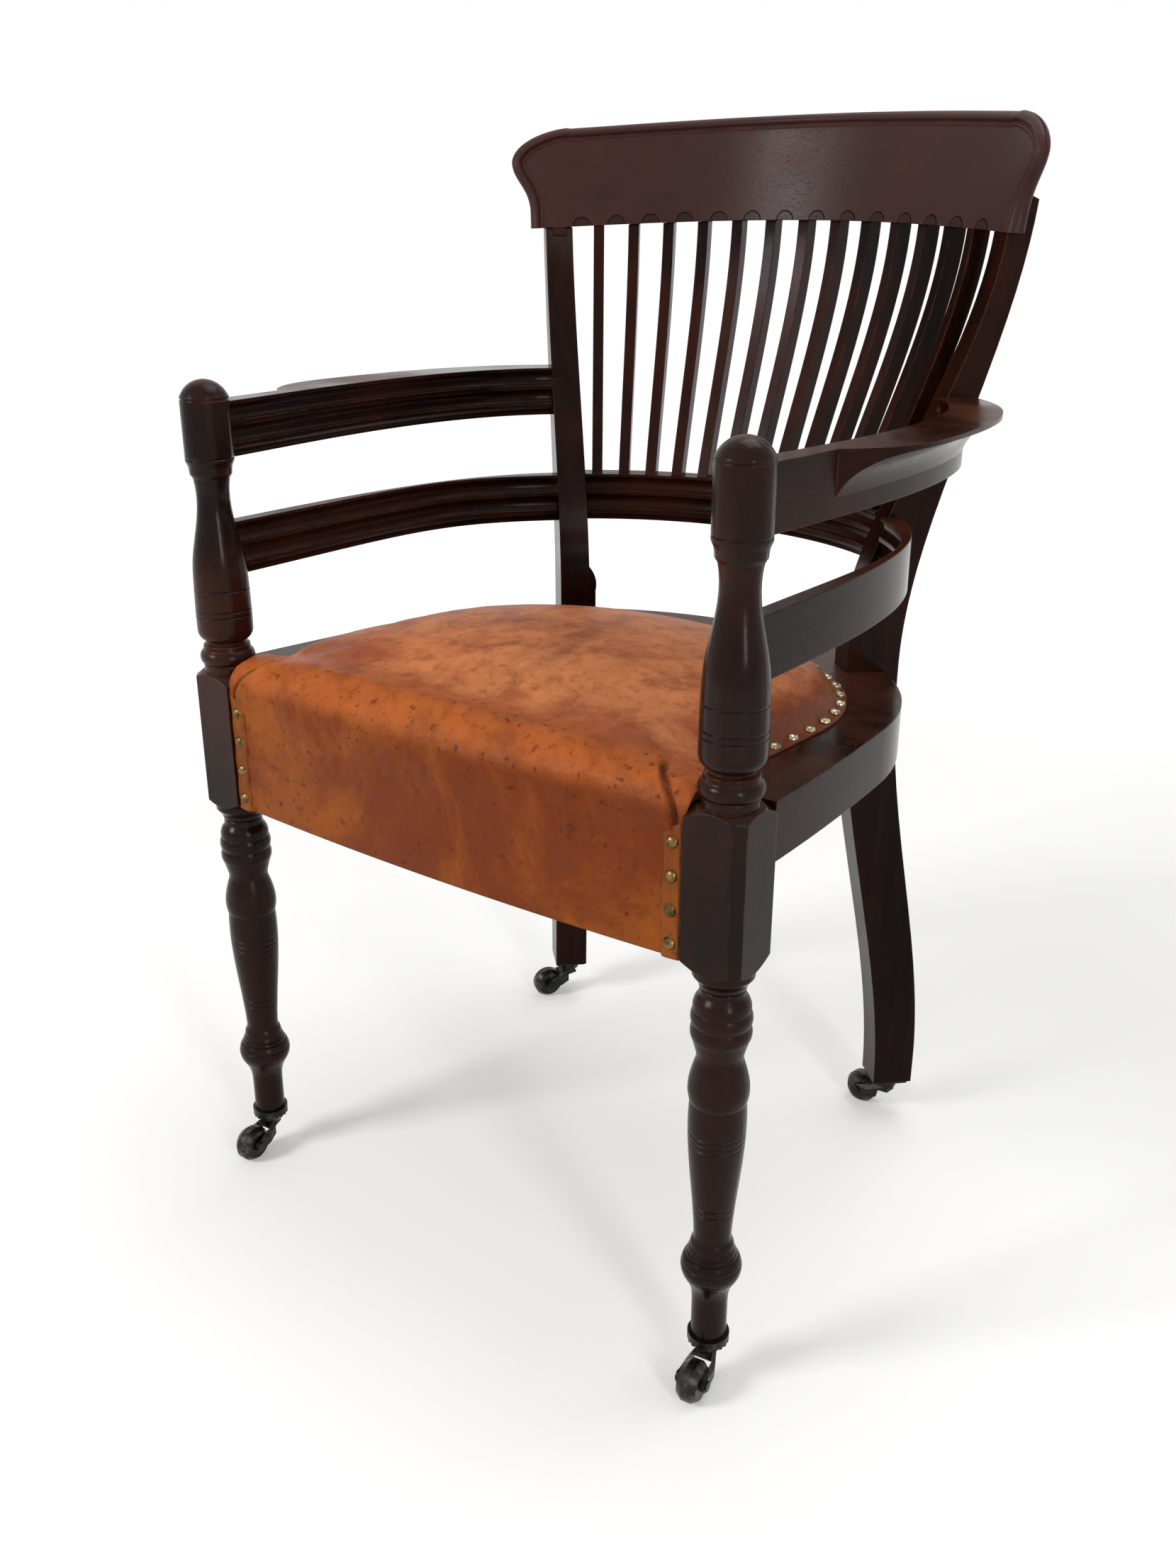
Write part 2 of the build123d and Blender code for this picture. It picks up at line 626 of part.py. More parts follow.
def back_rail_place():
    """Tenon of the lower back rail in a left stile's inner side."""
    a = radians(STILE_ANGLE)
    x, y = ring_point(BACK_RAIL_REACH + BACK_RAIL_THICK / 2 + 2, STILE_ANGLE)
    inward = STILE_BACK_THICK - 1.0
    place = (x - inward * cos(a), y + inward * sin(a), LOWER_ARM_TOP - ARM_HEIGHT / 2)
    return Plane(place, x_dir=(sin(a), cos(a), 0), z_dir=(cos(a), -sin(a), 0))


def lower_back_rail():
    far = BACK_RAIL_REACH + BACK_RAIL_THICK
    low = LOWER_ARM_TOP - ARM_HEIGHT
    section = polygon(
        (BACK_RAIL_REACH, low),
        (far, low),
        (far, LOWER_ARM_TOP),
        (BACK_RAIL_REACH, LOWER_ARM_TOP),
    )
    section -= moulding(BACK_RAIL_REACH, LOWER_ARM_TOP)
    rail = swept_round_back(section, STILE_ANGLE)
    space = stile_side_space()
    tenon = tongue(back_rail_place(), TENON_THICK, ARM_TENON, TENON_LENGTH / 2)
    rail = rail - space - mirrored(space) + tenon + mirrored(tenon)
    return rail - slat_mortises(slat_foot_place)


# Arms
ARM_TENON = ARM_HEIGHT - 18.0
RAIL_TENON = RAIL_HEIGHT - 18.0
FRONT_TENON = BLOCK_LENGTH / 2


def post_place(radius, height):
    """A place on the back of a left post with z running into it."""
    return Plane((POST_X, radius, height), x_dir=(1, 0, 0), z_dir=(0, -1, 0))


def stile_place(reach, height):
    """A place on a left stile's outer side with z running into it."""
    a = radians(STILE_ANGLE)
    x, y = ring_point(reach, STILE_ANGLE)
    return Plane((x, y, height), x_dir=(sin(a), cos(a), 0), z_dir=(-cos(a), sin(a), 0))


def upper_arm_reach():
    return stile_front_at(UPPER_ARM_TOP - ARM_HEIGHT / 2) + ARM_SETBACK


def lower_arm_reach():
    return stile_front_at(LOWER_ARM_TOP - ARM_HEIGHT / 2) + ARM_SETBACK


def upper_arm_post_place():
    return post_place(HEAD_RADIUS, UPPER_ARM_TOP - ARM_HEIGHT / 2)


def lower_arm_post_place():
    return post_place(BELLY_RADIUS - 2, LOWER_ARM_TOP - ARM_HEIGHT / 2)


def upper_arm_stile_place():
    return stile_place(upper_arm_reach() + UPPER_ARM_DEPTH / 2, UPPER_ARM_TOP - ARM_HEIGHT / 2)


def lower_arm_stile_place():
    return stile_place(lower_arm_reach() + LOWER_ARM_DEPTH / 2, LOWER_ARM_TOP - ARM_HEIGHT / 2)


def arm_face(curve, reach):
    """Plan of an arm's face: it leaves the post straight back and meets the stile's side squarely."""
    offset, front_pull, rear_pull = curve
    a = radians(STILE_ANGLE)
    x, y = ring_point(reach, STILE_ANGLE)
    start = POST_X + offset
    return Bezier((start, 0), (start, front_pull), (x + rear_pull * cos(a), y - rear_pull * sin(a)), (x, y))


def swept_along(face, path):
    """A section in (distance outward of a face, height) carried along that face's plan."""
    return sweep(Pos(path @ 0) * (Plane.XZ * face), path=path)


def moulded_arm(inner, outer, top):
    """A curved arm with a moulded inner face."""
    arm = upright(outline(inner, outer.reversed()), top - ARM_HEIGHT, top)
    return arm - [swept_along(face, inner) for face in moulding(0, top).faces()]


def jointed_arm(arm, post, stile):
    """The arm scribed to its post, with a tenon at each end."""
    arm -= Pos(POST_X, 0, 0) * turned(FIT)
    arm += tongue(post, ARM_TENON_THICK, ARM_TENON, TENON_LENGTH)
    return arm + tongue(stile, ARM_TENON_THICK, ARM_TENON, TENON_LENGTH / 2)


def lower_arm():
    reach = lower_arm_reach()
    inner = arm_face(LOWER_ARM_INNER, reach)
    outer = arm_face(LOWER_ARM_OUTER, reach + LOWER_ARM_DEPTH)
    arm = moulded_arm(inner, outer, LOWER_ARM_TOP)
    return jointed_arm(arm, lower_arm_post_place(), lower_arm_stile_place())


def elbow_pad(outer, middle):
    """The overhanging elbow rest: a crescent level with the arm's top, hollowed out below."""
    cusp = outer @ PAD_START
    lip_end = ring_point(stile_front_at(UPPER_ARM_TOP) + STILE_HEAD_DEPTH, STILE_ANGLE)
    lip = Spline(cusp, *[(POST_X + out, back) for out, back in PAD_LIP], lip_end)
    inside = middle.trim(PAD_START, 1.0)
    crescent = outline(lip, inside.reversed())
    under = UPPER_ARM_TOP - PAD_THICK
    low = under - PAD_COVE
    hollow = outline(
        bow((-PAD_ROOT, low), (PAD_WIDTH, under), PAD_HOLLOW),
        Line((2 * PAD_WIDTH, under), (2 * PAD_WIDTH, low - 1)),
        Line((2 * PAD_WIDTH, low - 1), (-PAD_ROOT, low - 1)),
    )
    return upright(crescent, low, UPPER_ARM_TOP) - swept_along(hollow, outer)


def upper_arm():
    reach = upper_arm_reach()
    inner = arm_face(UPPER_ARM_INNER, reach)
    outer = arm_face(UPPER_ARM_OUTER, reach + UPPER_ARM_DEPTH)
    between = tuple((near + far) / 2 for near, far in zip(UPPER_ARM_INNER, UPPER_ARM_OUTER))
    middle = arm_face(between, reach + UPPER_ARM_DEPTH / 2)
    arm = moulded_arm(inner, outer, UPPER_ARM_TOP) + elbow_pad(outer, middle)
    return jointed_arm(arm, upper_arm_post_place(), upper_arm_stile_place())


# Seat frame
def rail_middle(y):
    return seat_level(y) - RAIL_HEIGHT / 2


def side_rail_post_place():
    return post_place(HALF_BLOCK, rail_middle(HALF_BLOCK))


def side_rail_stile_place():
    reach = (STILE_WAIST_REACH + RAIL_REACH) / 2
    return stile_place(reach, rail_middle(ring_point(reach, STILE_ANGLE)[1]))


def front_rail_place():
    """Tenon of the front rail in the left post's block."""
    middle = (FRONT_RAIL_BACK - LEATHER_FRONT + LEATHER) / 2
    height = (APRON_BOTTOM + SEAT_HEIGHT - REBATE_DEPTH) / 2
    return Plane((BLOCK_INSIDE, middle, height), x_dir=(0, 1, 0), z_dir=(1, 0, 0))


def inner_turn():
    """Where the round inside of the rails begins."""
    return ring_point(RAIL_INNER_REACH, RAIL_TANGENT_ANGLE)


def rail_rebate():
    """The step inside the rails that the webbing and stuffing sit in."""
    return upright(crown_plan(0), SEAT_HEIGHT - 2 * RAIL_HEIGHT, SEAT_HEIGHT + RAIL_HEIGHT)


def side_rail():
    outer_turn = ring_point(RAIL_REACH, RAIL_TANGENT_ANGLE)
    middle_angle = (RAIL_TANGENT_ANGLE + STILE_ANGLE) / 2
    plan = outline(
        bow((POST_X + HALF_BLOCK - RAIL_SETBACK, HALF_BLOCK), outer_turn, -RAIL_BOW),
        ThreePointArc(outer_turn, ring_point(RAIL_REACH, middle_angle), ring_point(RAIL_REACH, STILE_ANGLE)),
        ThreePointArc(
            ring_point(RAIL_INNER_REACH, STILE_ANGLE),
            ring_point(RAIL_INNER_REACH, middle_angle),
            inner_turn(),
        ),
        Line(inner_turn(), (BLOCK_INSIDE, HALF_BLOCK)),
    )
    rail = upright(plan, SEAT_HEIGHT - 3 * RAIL_HEIGHT, SEAT_HEIGHT + RAIL_HEIGHT)
    rail &= seat_slab(-RAIL_HEIGHT, 0)
    rail -= rail_rebate() & seat_slab(STRAP_THICK - REBATE_DEPTH, RAIL_HEIGHT)
    rail += tongue(side_rail_post_place(), TENON_THICK, RAIL_TENON, TENON_LENGTH)
    return rail + tongue(side_rail_stile_place(), TENON_THICK, RAIL_TENON, TENON_LENGTH / 2)


def back_seat_rail():
    section = polygon(
        (RAIL_INNER_REACH, SEAT_HEIGHT - 3 * RAIL_HEIGHT),
        (RAIL_REACH, SEAT_HEIGHT - 3 * RAIL_HEIGHT),
        (RAIL_REACH, SEAT_HEIGHT + RAIL_HEIGHT),
        (RAIL_INNER_REACH, SEAT_HEIGHT + RAIL_HEIGHT),
    )
    rail = swept_round_back(section, STILE_ANGLE) & seat_slab(-RAIL_HEIGHT, 0)
    rail -= rail_rebate() & seat_slab(-REBATE_DEPTH, RAIL_HEIGHT)
    notch = stile_blank(FIT)
    return rail - notch - mirrored(notch)


def front_seat_rail():
    plan = outline(
        front_arc(BLOCK_INSIDE, LEATHER + FIT),
        Line((BLOCK_INSIDE, FRONT_RAIL_BACK), (-BLOCK_INSIDE, FRONT_RAIL_BACK)),
    )
    rail = upright(plan, APRON_BOTTOM + APRON_HEM, SEAT_HEIGHT + RAIL_HEIGHT)
    rail -= seat_slab(-REBATE_DEPTH, 3 * RAIL_HEIGHT)
    tenon = tongue(front_rail_place(), TENON_THICK, FRONT_TENON, TENON_LENGTH)
    return rail + tenon + mirrored(tenon)


def corner_blocks():
    """Glue blocks: two behind the front rail and two inside the rail joints at the stiles."""
    turn = inner_turn()
    share = CORNER_BLOCK_REACH / (turn[1] - HALF_BLOCK)
    along = (BLOCK_INSIDE + (turn[0] - BLOCK_INSIDE) * share, HALF_BLOCK + CORNER_BLOCK_REACH)
    front = polygon(
        (BLOCK_INSIDE, FRONT_RAIL_BACK),
        (BLOCK_INSIDE, HALF_BLOCK),
        along,
        (BLOCK_INSIDE - CORNER_BLOCK_REACH, FRONT_RAIL_BACK),
    )
    low_angle = STILE_ANGLE - REAR_BLOCK_SPREAD
    high_angle = STILE_ANGLE + REAR_BLOCK_SPREAD
    reach = RAIL_INNER_REACH - FIT
    rear = outline(
        ThreePointArc(
            ring_point(reach, low_angle),
            ring_point(reach, STILE_ANGLE),
            ring_point(reach, high_angle),
        ),
        Line(
            ring_point(reach - REAR_BLOCK_DEPTH, high_angle - 3),
            ring_point(reach - REAR_BLOCK_DEPTH, low_angle + 3),
        ),
    )
    slab = seat_slab(-RAIL_HEIGHT, CORNER_BLOCK_HEIGHT - RAIL_HEIGHT)
    blocks = []
    for plan in (front, rear):
        block = upright(plan, SEAT_HEIGHT - 3 * RAIL_HEIGHT, SEAT_HEIGHT) & slab
        blocks += [block.solid(), mirrored(block).solid()]
    return Compound(blocks)


# Seat
def rear_outline(inset):
    """The leather's rear edge from the left side round to the right: two corners and a flatter back."""
    corner_x = LEATHER_HALF_WIDTH - LEATHER_CORNER
    corner_y = LEATHER_CORNER_LINE
    turn = radians(LEATHER_CORNER_TURN)
    flat = corner_x / cos(turn)
    back_y = corner_y - flat * sin(turn)
    radius = LEATHER_CORNER - inset
    back_radius = radius + flat

    def corner_point(angle, side):
        return (side * (corner_x + radius * cos(angle)), corner_y + radius * sin(angle))

    return (
        ThreePointArc(corner_point(0, 1), corner_point(turn / 2, 1), corner_point(turn, 1)),
        ThreePointArc(corner_point(turn, 1), (0, back_y + back_radius), corner_point(turn, -1)),
        ThreePointArc(corner_point(turn, -1), corner_point(turn / 2, -1), corner_point(0, -1)),
    )


def front_face(x, wall):
    """How far the bowed front stands from the post line, wall inside the leather's outer face."""
    half = BLOCK_INSIDE - LEATHER_GAP
    radius = (half ** 2 + FRONT_BOW ** 2) / (2 * FRONT_BOW)
    return radius - FRONT_BOW - LEATHER_FRONT - sqrt((radius - wall) ** 2 - x ** 2)


def front_arc(half, wall):
    """The bowed front from right to left of the sitter."""
    end = front_face(half, wall)
    return ThreePointArc((-half, end), (0, front_face(0, wall)), (half, end))


def crown_plan(wall):
    """Plan of the stuffed crown, wall inside the leather's outer face."""
    front_x = BLOCK_INSIDE - LEATHER_GAP - wall
    side_x = LEATHER_HALF_WIDTH - LEATHER_BAND - wall
    return outline(
        front_arc(front_x, wall),
        Line((front_x, HALF_BLOCK / 2), (side_x, HALF_BLOCK * 1.5)),
        *rear_outline(LEATHER_BAND + wall),
        Line((-side_x, HALF_BLOCK * 1.5), (-front_x, HALF_BLOCK / 2)),
    )


def crown(wall):
    """The crowned stuffing: arched sections from the front roll over the crown to the back edge."""
    front = -LEATHER_FRONT - FRONT_BOW - 4
    back = LEATHER_CORNER_LINE + LEATHER_CORNER + 8
    wide = BLOCK_INSIDE + 2
    rises = (
        (0.0, FRONT_ROLL, FRONT_ROLL * 0.4),
        (0.18, FRONT_ROLL + (CROWN_HEIGHT - FRONT_ROLL) * 0.60, SIDE_ROLL),
        (0.36, FRONT_ROLL + (CROWN_HEIGHT - FRONT_ROLL) * 0.92, SIDE_ROLL),
        (0.53, CROWN_HEIGHT, SIDE_ROLL),
        (0.70, CROWN_HEIGHT * 0.85, SIDE_ROLL * 0.6),
        (0.86, CROWN_HEIGHT * 0.52, 0.0),
        (1.0, REAR_ROLL, -REAR_ROLL),
    )
    sections = []
    for share, rise, edge in rises:
        y = front + (back - front) * share
        level = seat_level(y) - wall
        base = SEAT_HEIGHT - RAIL_HEIGHT
        sections.append(
            Plane((0, y, 0), x_dir=(1, 0, 0), z_dir=(0, -1, 0)) * outline(
                Line((-wide, base), (wide, base)),
                ThreePointArc((wide, level + edge), (0, level + rise), (-wide, level + edge)),
            )
        )
    body = loft(sections)
    return body & upright(crown_plan(wall), SEAT_HEIGHT - RAIL_HEIGHT, SEAT_HEIGHT + 2 * RAIL_HEIGHT)


def seat_stuffing():
    return crown(LEATHER + FIT) & seat_slab(2 * STRAP_THICK + HESSIAN - REBATE_DEPTH, 2 * RAIL_HEIGHT)


def apron_panel():
    """The leather that hangs down the front rail between the post blocks."""
    half = BLOCK_INSIDE - LEATHER_GAP
    back = front_arc(half, LEATHER)
    panel = outline(front_arc(half, 0), Line((half, front_face(half, 0)), back @ 1), back.reversed())
    return upright(panel, APRON_BOTTOM, SEAT_HEIGHT + FRONT_ROLL * 0.3)


def leather_cover():
    """One hide: the crown, the flat nailed band round the sides and back, and the front apron."""
    side_start = HALF_BLOCK + LEATHER_GAP
    edge = LEATHER_HALF_WIDTH
    inner = edge - LEATHER_BAND - 1
    band = outline(
        Line((edge, side_start), (edge, LEATHER_CORNER_LINE)),
        *rear_outline(0),
        Line((-edge, LEATHER_CORNER_LINE), (-edge, side_start)),
    )
    band -= outline(
        Line((inner, side_start - 1), (inner, LEATHER_CORNER_LINE)),
        *rear_outline(LEATHER_BAND + 1),
        Line((-inner, LEATHER_CORNER_LINE), (-inner, side_start - 1)),
    )
    flat = upright(band, SEAT_HEIGHT - RAIL_HEIGHT, SEAT_HEIGHT + RAIL_HEIGHT) & seat_slab(0, LEATHER)
    skin = crown(0) & seat_slab(0, 2 * RAIL_HEIGHT)
    cover = skin + flat + apron_panel()
    return cover - crown(LEATHER)


def webbing():
    """Three straps from front to back on the rails' step and three across on top of them."""
    step = SEAT_HEIGHT - REBATE_DEPTH
    plan = upright(crown_plan(LEATHER + FIT), step - RAIL_HEIGHT, SEAT_HEIGHT)
    length = plan & seat_slab(-REBATE_DEPTH, STRAP_THICK - REBATE_DEPTH)
    across = plan & seat_slab(STRAP_THICK - REBATE_DEPTH, 2 * STRAP_THICK - REBATE_DEPTH)
    straps = []
    for step_count in (-1, 0, 1):
        place = step_count * STRAP_SPACING
        straps.append((length & Pos(place, 0, step) * Box(STRAP_WIDTH, SHEET, SHEET)).solid())
        middle = LEATHER_CORNER_LINE + place
        straps.append((across & Pos(0, middle, step) * Box(SHEET, STRAP_WIDTH, SHEET)).solid())
    return Compound(straps)


def hessian():
    sheet = upright(crown_plan(LEATHER + FIT), SEAT_HEIGHT - RAIL_HEIGHT, SEAT_HEIGHT)
    level = 2 * STRAP_THICK - REBATE_DEPTH
    return sheet & seat_slab(level, level + HESSIAN)


def nail(radius, height):
    """A domed nail head on its flat underside."""
    dome = (radius ** 2 + height ** 2) / (2 * height)
    cap = Pos(0, 0, height - dome) * Sphere(dome)
    return cap & Pos(0, 0, height / 2) * Box(3 * radius, 3 * radius, height)


def edge_nails():
    """Nails round the leather band, evenly spaced from one post to the other."""
    edge = LEATHER_HALF_WIDTH - LEATHER_BAND / 2
    start = HALF_BLOCK + NAIL_PITCH / 2
    arcs = rear_outline(LEATHER_BAND / 2)
    path = [Line((edge, start), arcs[0] @ 0), *arcs, Line(arcs[-1] @ 1, (-edge, start))]
    total = sum(piece.length for piece in path)
    count = round(total / NAIL_PITCH)
    head = nail(NAIL_RADIUS, NAIL_HEIGHT)
    heads = []
    for index in range(count + 1):
        travel = total * index / count
        for piece in path:
            if travel <= piece.length + 1e-6:
                break
            travel -= piece.length
        spot = piece @ min(1.0, travel / piece.length)
        level = seat_level(spot.Y) + LEATHER / cos(radians(SEAT_RAKE))
        heads.append((Pos(spot.X, spot.Y, level) * Rot(-SEAT_RAKE, 0, 0) * head).solid())
    return Compound(heads)


def apron_nails():
    """A column of larger nails at each end of the apron."""
    x = BLOCK_INSIDE - LEATHER_GAP - 1.6 * FRONT_NAIL_RADIUS
    face = front_face(x, 0)
    turn = degrees(atan2(front_face(x + 1, 0) - face, 1))
    head = nail(FRONT_NAIL_RADIUS, NAIL_HEIGHT)
    heads = []
    for index in range(FRONT_NAIL_COUNT):
        height = APRON_BOTTOM + FRONT_NAIL_PITCH * (index + 0.4)
        placed = Pos(x, face - FIT, height) * Rot(0, 0, turn) * Rot(90, 0, 0) * head
        heads += [placed.solid(), mirrored(placed).solid()]
    return Compound(heads)


# Casters, made with the swivel axis at x = y = 0 and the wheel trailing to the front
def horn():
    """Cheeks and crown of a caster with its pintle."""
    slot = WHEEL_WIDTH + 2 * WHEEL_GAP
    width = slot + 2 * CHEEK_THICK
    crown_circle = Pos(0, HORN_TOP - HORN_RADIUS) * Circle(HORN_RADIUS)
    axle_circle = Pos(-CASTER_TRAIL, AXLE_LEVEL) * Circle(CHEEK_RADIUS)
    side = make_hull(crown_circle.edges() + axle_circle.edges())
    body = extrude(Plane.YZ * side, width / 2, both=True)
    under = HORN_TOP - HORN_CROWN
    front = polygon(
        (-width / 2, 0),
        (width / 2, 0),
        (width / 2, AXLE_LEVEL + CHEEK_RADIUS),
        (HORN_NECK / 2, HORN_TOP),
        (-HORN_NECK / 2, HORN_TOP),
        (-width / 2, AXLE_LEVEL + CHEEK_RADIUS),
    )
    plan = polygon(
        (-width / 2, -SHEET / 4),
        (width / 2, -SHEET / 4),
        (width / 2, -CASTER_TRAIL / 2),
        (HORN_NECK / 2, HORN_RADIUS),
        (-HORN_NECK / 2, HORN_RADIUS),
        (-width / 2, -CASTER_TRAIL / 2),
    )
    body &= extrude(Plane.XZ * front, SHEET / 4, both=True)
    body &= upright(plan, 0, HORN_TOP)
    body -= Pos(0, 0, under - SHEET / 2) * Box(slot, SHEET, SHEET)
    well = Rot(0, 90, 0) * Cylinder(WHEEL_RADIUS + 2 * WHEEL_GAP, slot)
    body -= Pos(0, -CASTER_TRAIL, AXLE_LEVEL) * well
    pintle = Cylinder(PINTLE_RADIUS, PINTLE_LENGTH + 1, align=(Align.CENTER, Align.CENTER, Align.MIN))
    body += Pos(0, 0, HORN_TOP - 1) * pintle
    hole = Rot(0, 90, 0) * Cylinder(AXLE_RADIUS + RUNNING_FIT / 2, 2 * width)
    return body - Pos(0, -CASTER_TRAIL, AXLE_LEVEL) * hole


def wheel():
    half = WHEEL_WIDTH / 2
    bore = AXLE_RADIUS + RUNNING_FIT
    section = outline(
        Line((-half, bore), (half, bore)),
        Line((half, bore), (half, WHEEL_EDGE_RADIUS)),
        Line((half, WHEEL_EDGE_RADIUS), (WHEEL_TREAD / 2, WHEEL_RADIUS)),
        Line((WHEEL_TREAD / 2, WHEEL_RADIUS), (-WHEEL_TREAD / 2, WHEEL_RADIUS)),
        Line((-WHEEL_TREAD / 2, WHEEL_RADIUS), (-half, WHEEL_EDGE_RADIUS)),
    )
    return Pos(0, -CASTER_TRAIL, AXLE_LEVEL) * revolve(Plane.XY * section, Axis.X)


def axle():
    half = WHEEL_WIDTH / 2 + WHEEL_GAP + CHEEK_THICK
    pin = Cylinder(AXLE_RADIUS, 2 * half)
    for way in (-1, 1):
        pin += Pos(0, 0, way * (half + AXLE_HEAD / 2)) * Cylinder(AXLE_HEAD_RADIUS, AXLE_HEAD)
    return Pos(0, -CASTER_TRAIL, AXLE_LEVEL) * Rot(0, 90, 0) * pin


def cup():
    """The socket on a front leg, whose floor carries the pintle."""
    low = HORN_TOP + SWIVEL_GAP
    floor = CUP_TOP - SPIGOT_LENGTH
    bore = PINTLE_RADIUS + RUNNING_FIT
    section = outline(
        Line((bore, low), (CUP_FOOT_RADIUS, low)),
        Line((CUP_FOOT_RADIUS, low), (CUP_RADIUS, floor)),
        Line((CUP_RADIUS, floor), (CUP_RADIUS, CUP_TOP)),
        Line((SPIGOT_RADIUS + FIT, CUP_TOP), (SPIGOT_RADIUS + FIT, floor)),
        Line((bore, floor), (bore, low)),
    )
    return revolve(Plane.XZ * section, Axis.Z)


def foot_plate():
    """The plate under a rear leg, with the boss that carries the pintle."""
    plate = Rot(0, 0, -STILE_ANGLE) * Box(PLATE_SIZE, PLATE_SIZE, PLATE_THICK)
    plate = Pos(0, 0, LEG_BOTTOM - PLATE_THICK / 2) * plate
    low = HORN_TOP + SWIVEL_GAP
    height = LEG_BOTTOM - low
    boss = Cylinder(BOSS_RADIUS, height - PLATE_THICK, align=(Align.CENTER, Align.CENTER, Align.MIN))
    hole = Cylinder(PINTLE_RADIUS + RUNNING_FIT, 3 * height)
    return plate + Pos(0, 0, low) * boss - Pos(0, 0, low) * hole


def rear_caster_axis():
    a = radians(STILE_ANGLE)
    x, y = ring_point(STILE_FOOT_REACH + STILE_FOOT_DEPTH / 2, STILE_ANGLE)
    return x - STILE_LEG_THICK / 2 * cos(a), y + STILE_LEG_THICK / 2 * sin(a)


def chair():
    """Every node by name."""
    pieces = {"crest_rail": crest_rail(), "lower_back_rail": lower_back_rail()}
    for maker in (front_post, rear_stile, upper_arm, lower_arm, side_rail):
        name = "side_seat_rail" if maker is side_rail else maker.__name__
        left = maker()
        pieces[name + "_left"] = left
        pieces[name + "_right"] = mirrored(left)
    for index, slat in enumerate(back_slats()):
        pieces[f"back_slat_{index + 1:02d}"] = slat
    for maker in (front_seat_rail, back_seat_rail, corner_blocks, webbing, hessian):
        pieces[maker.__name__] = maker()
    for maker in (seat_stuffing, leather_cover, edge_nails, apron_nails):
        pieces[maker.__name__] = maker()
    rear_x, rear_y = rear_caster_axis()
    caster = {"horn": horn(), "wheel": wheel(), "axle": axle()}
    holders = {"front": ("caster_cup", cup()), "rear": ("caster_plate", foot_plate())}
    for row, x, y in (("front", POST_X, 0), ("rear", rear_x, rear_y)):
        for side, way in SIDES.items():
            holder, shape = holders[row]
            pieces[f"{holder}_{row}_{side}"] = Pos(way * x, y, 0) * (shape if way > 0 else mirrored(shape))
            stand = Pos(way * x, y, 0) * Rot(0, 0, CASTER_TURNS[f"{row}_{side}"])
            for name, shape in caster.items():
                pieces[f"caster_{name}_{row}_{side}"] = stand * shape
    return pieces


def main():
    pieces = chair()
    boxes = [piece.bounding_box() for piece in pieces.values()]
    centre = (min(box.min.Y for box in boxes) + max(box.max.Y for box in boxes)) / 2
    os.makedirs("parts", exist_ok=True)
    for name, piece in pieces.items():
        export_step(Pos(0, -centre, -FLOOR_LEVEL) * piece, f"parts/{name}.step")
    rear_x, rear_y = rear_caster_axis()
    print(f"centre of depth {centre:.4f}")
    print(f"front swivels x {POST_X:.4f} y {-centre:.4f}")
    print(f"rear swivels x {rear_x:.4f} y {rear_y - centre:.4f}")
    print(f"floor {FLOOR_LEVEL:.4f}, wheel axles {WHEEL_RADIUS:.4f} over it, trail {CASTER_TRAIL:.4f}")


main()
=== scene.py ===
import json
import math

import bmesh
import bpy
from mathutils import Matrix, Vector
from mathutils.geometry import delaunay_2d_cdt


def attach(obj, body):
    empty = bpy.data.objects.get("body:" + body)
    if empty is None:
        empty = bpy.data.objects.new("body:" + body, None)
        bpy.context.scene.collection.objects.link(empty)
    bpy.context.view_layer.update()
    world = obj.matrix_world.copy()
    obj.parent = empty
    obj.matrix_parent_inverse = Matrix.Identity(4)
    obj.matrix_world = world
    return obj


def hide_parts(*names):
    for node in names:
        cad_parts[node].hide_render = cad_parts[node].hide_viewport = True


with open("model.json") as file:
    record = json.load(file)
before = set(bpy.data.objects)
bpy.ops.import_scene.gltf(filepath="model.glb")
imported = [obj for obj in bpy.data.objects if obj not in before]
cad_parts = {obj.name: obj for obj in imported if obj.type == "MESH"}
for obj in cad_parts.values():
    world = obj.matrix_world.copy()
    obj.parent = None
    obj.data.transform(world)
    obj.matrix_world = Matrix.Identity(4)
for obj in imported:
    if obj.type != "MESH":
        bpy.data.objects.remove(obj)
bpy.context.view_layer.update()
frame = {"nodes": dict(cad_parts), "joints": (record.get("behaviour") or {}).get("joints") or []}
nodes = frame["nodes"]
joints = {joint["name"]: joint for joint in frame["joints"]}

# Lengths are metres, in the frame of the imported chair: +Z up, the sitter faces -Y and the sitter's left is +X.
POST_X = joints["swivel_front_left"]["pos_m"][0]
POST_LINE = joints["swivel_front_left"]["pos_m"][1]
BACK_AXIS = POST_LINE + 0.182           # the upright axis that the back is struck from
SEAT_LEVEL = 0.474                      # top of the seat rails at the posts
SEAT_FALL = math.tan(math.radians(2.0))
HALF_BLOCK = 0.0225                     # half the side of a post's square
SLAT_PITCH = math.radians(6.0)
CREST_REACH = 0.310                     # of the crest's face from the back axis, at its lower edge
CREST_LOW = 0.824                       # the crest's lower edge in the middle
CREST_ARCH = 3.1                        # radius of that edge, seen from the front
LUNETTE = 0.0082                        # radius of the half rounds in that edge
LUNETTE_DEPTH = 0.013                   # how far behind the crest's face they reach
LUNETTE_SPREAD = 7 * SLAT_PITCH         # either side of the middle


# Shaders
def colour(code):
    """Linear colour from an sRGB hex code."""
    parts = [int(code[i:i + 2], 16) / 255 for i in (1, 3, 5)]
    linear = [c / 12.92 if c <= 0.04045 else ((c + 0.055) / 1.055) ** 2.4 for c in parts]
    return (*linear, 1.0)


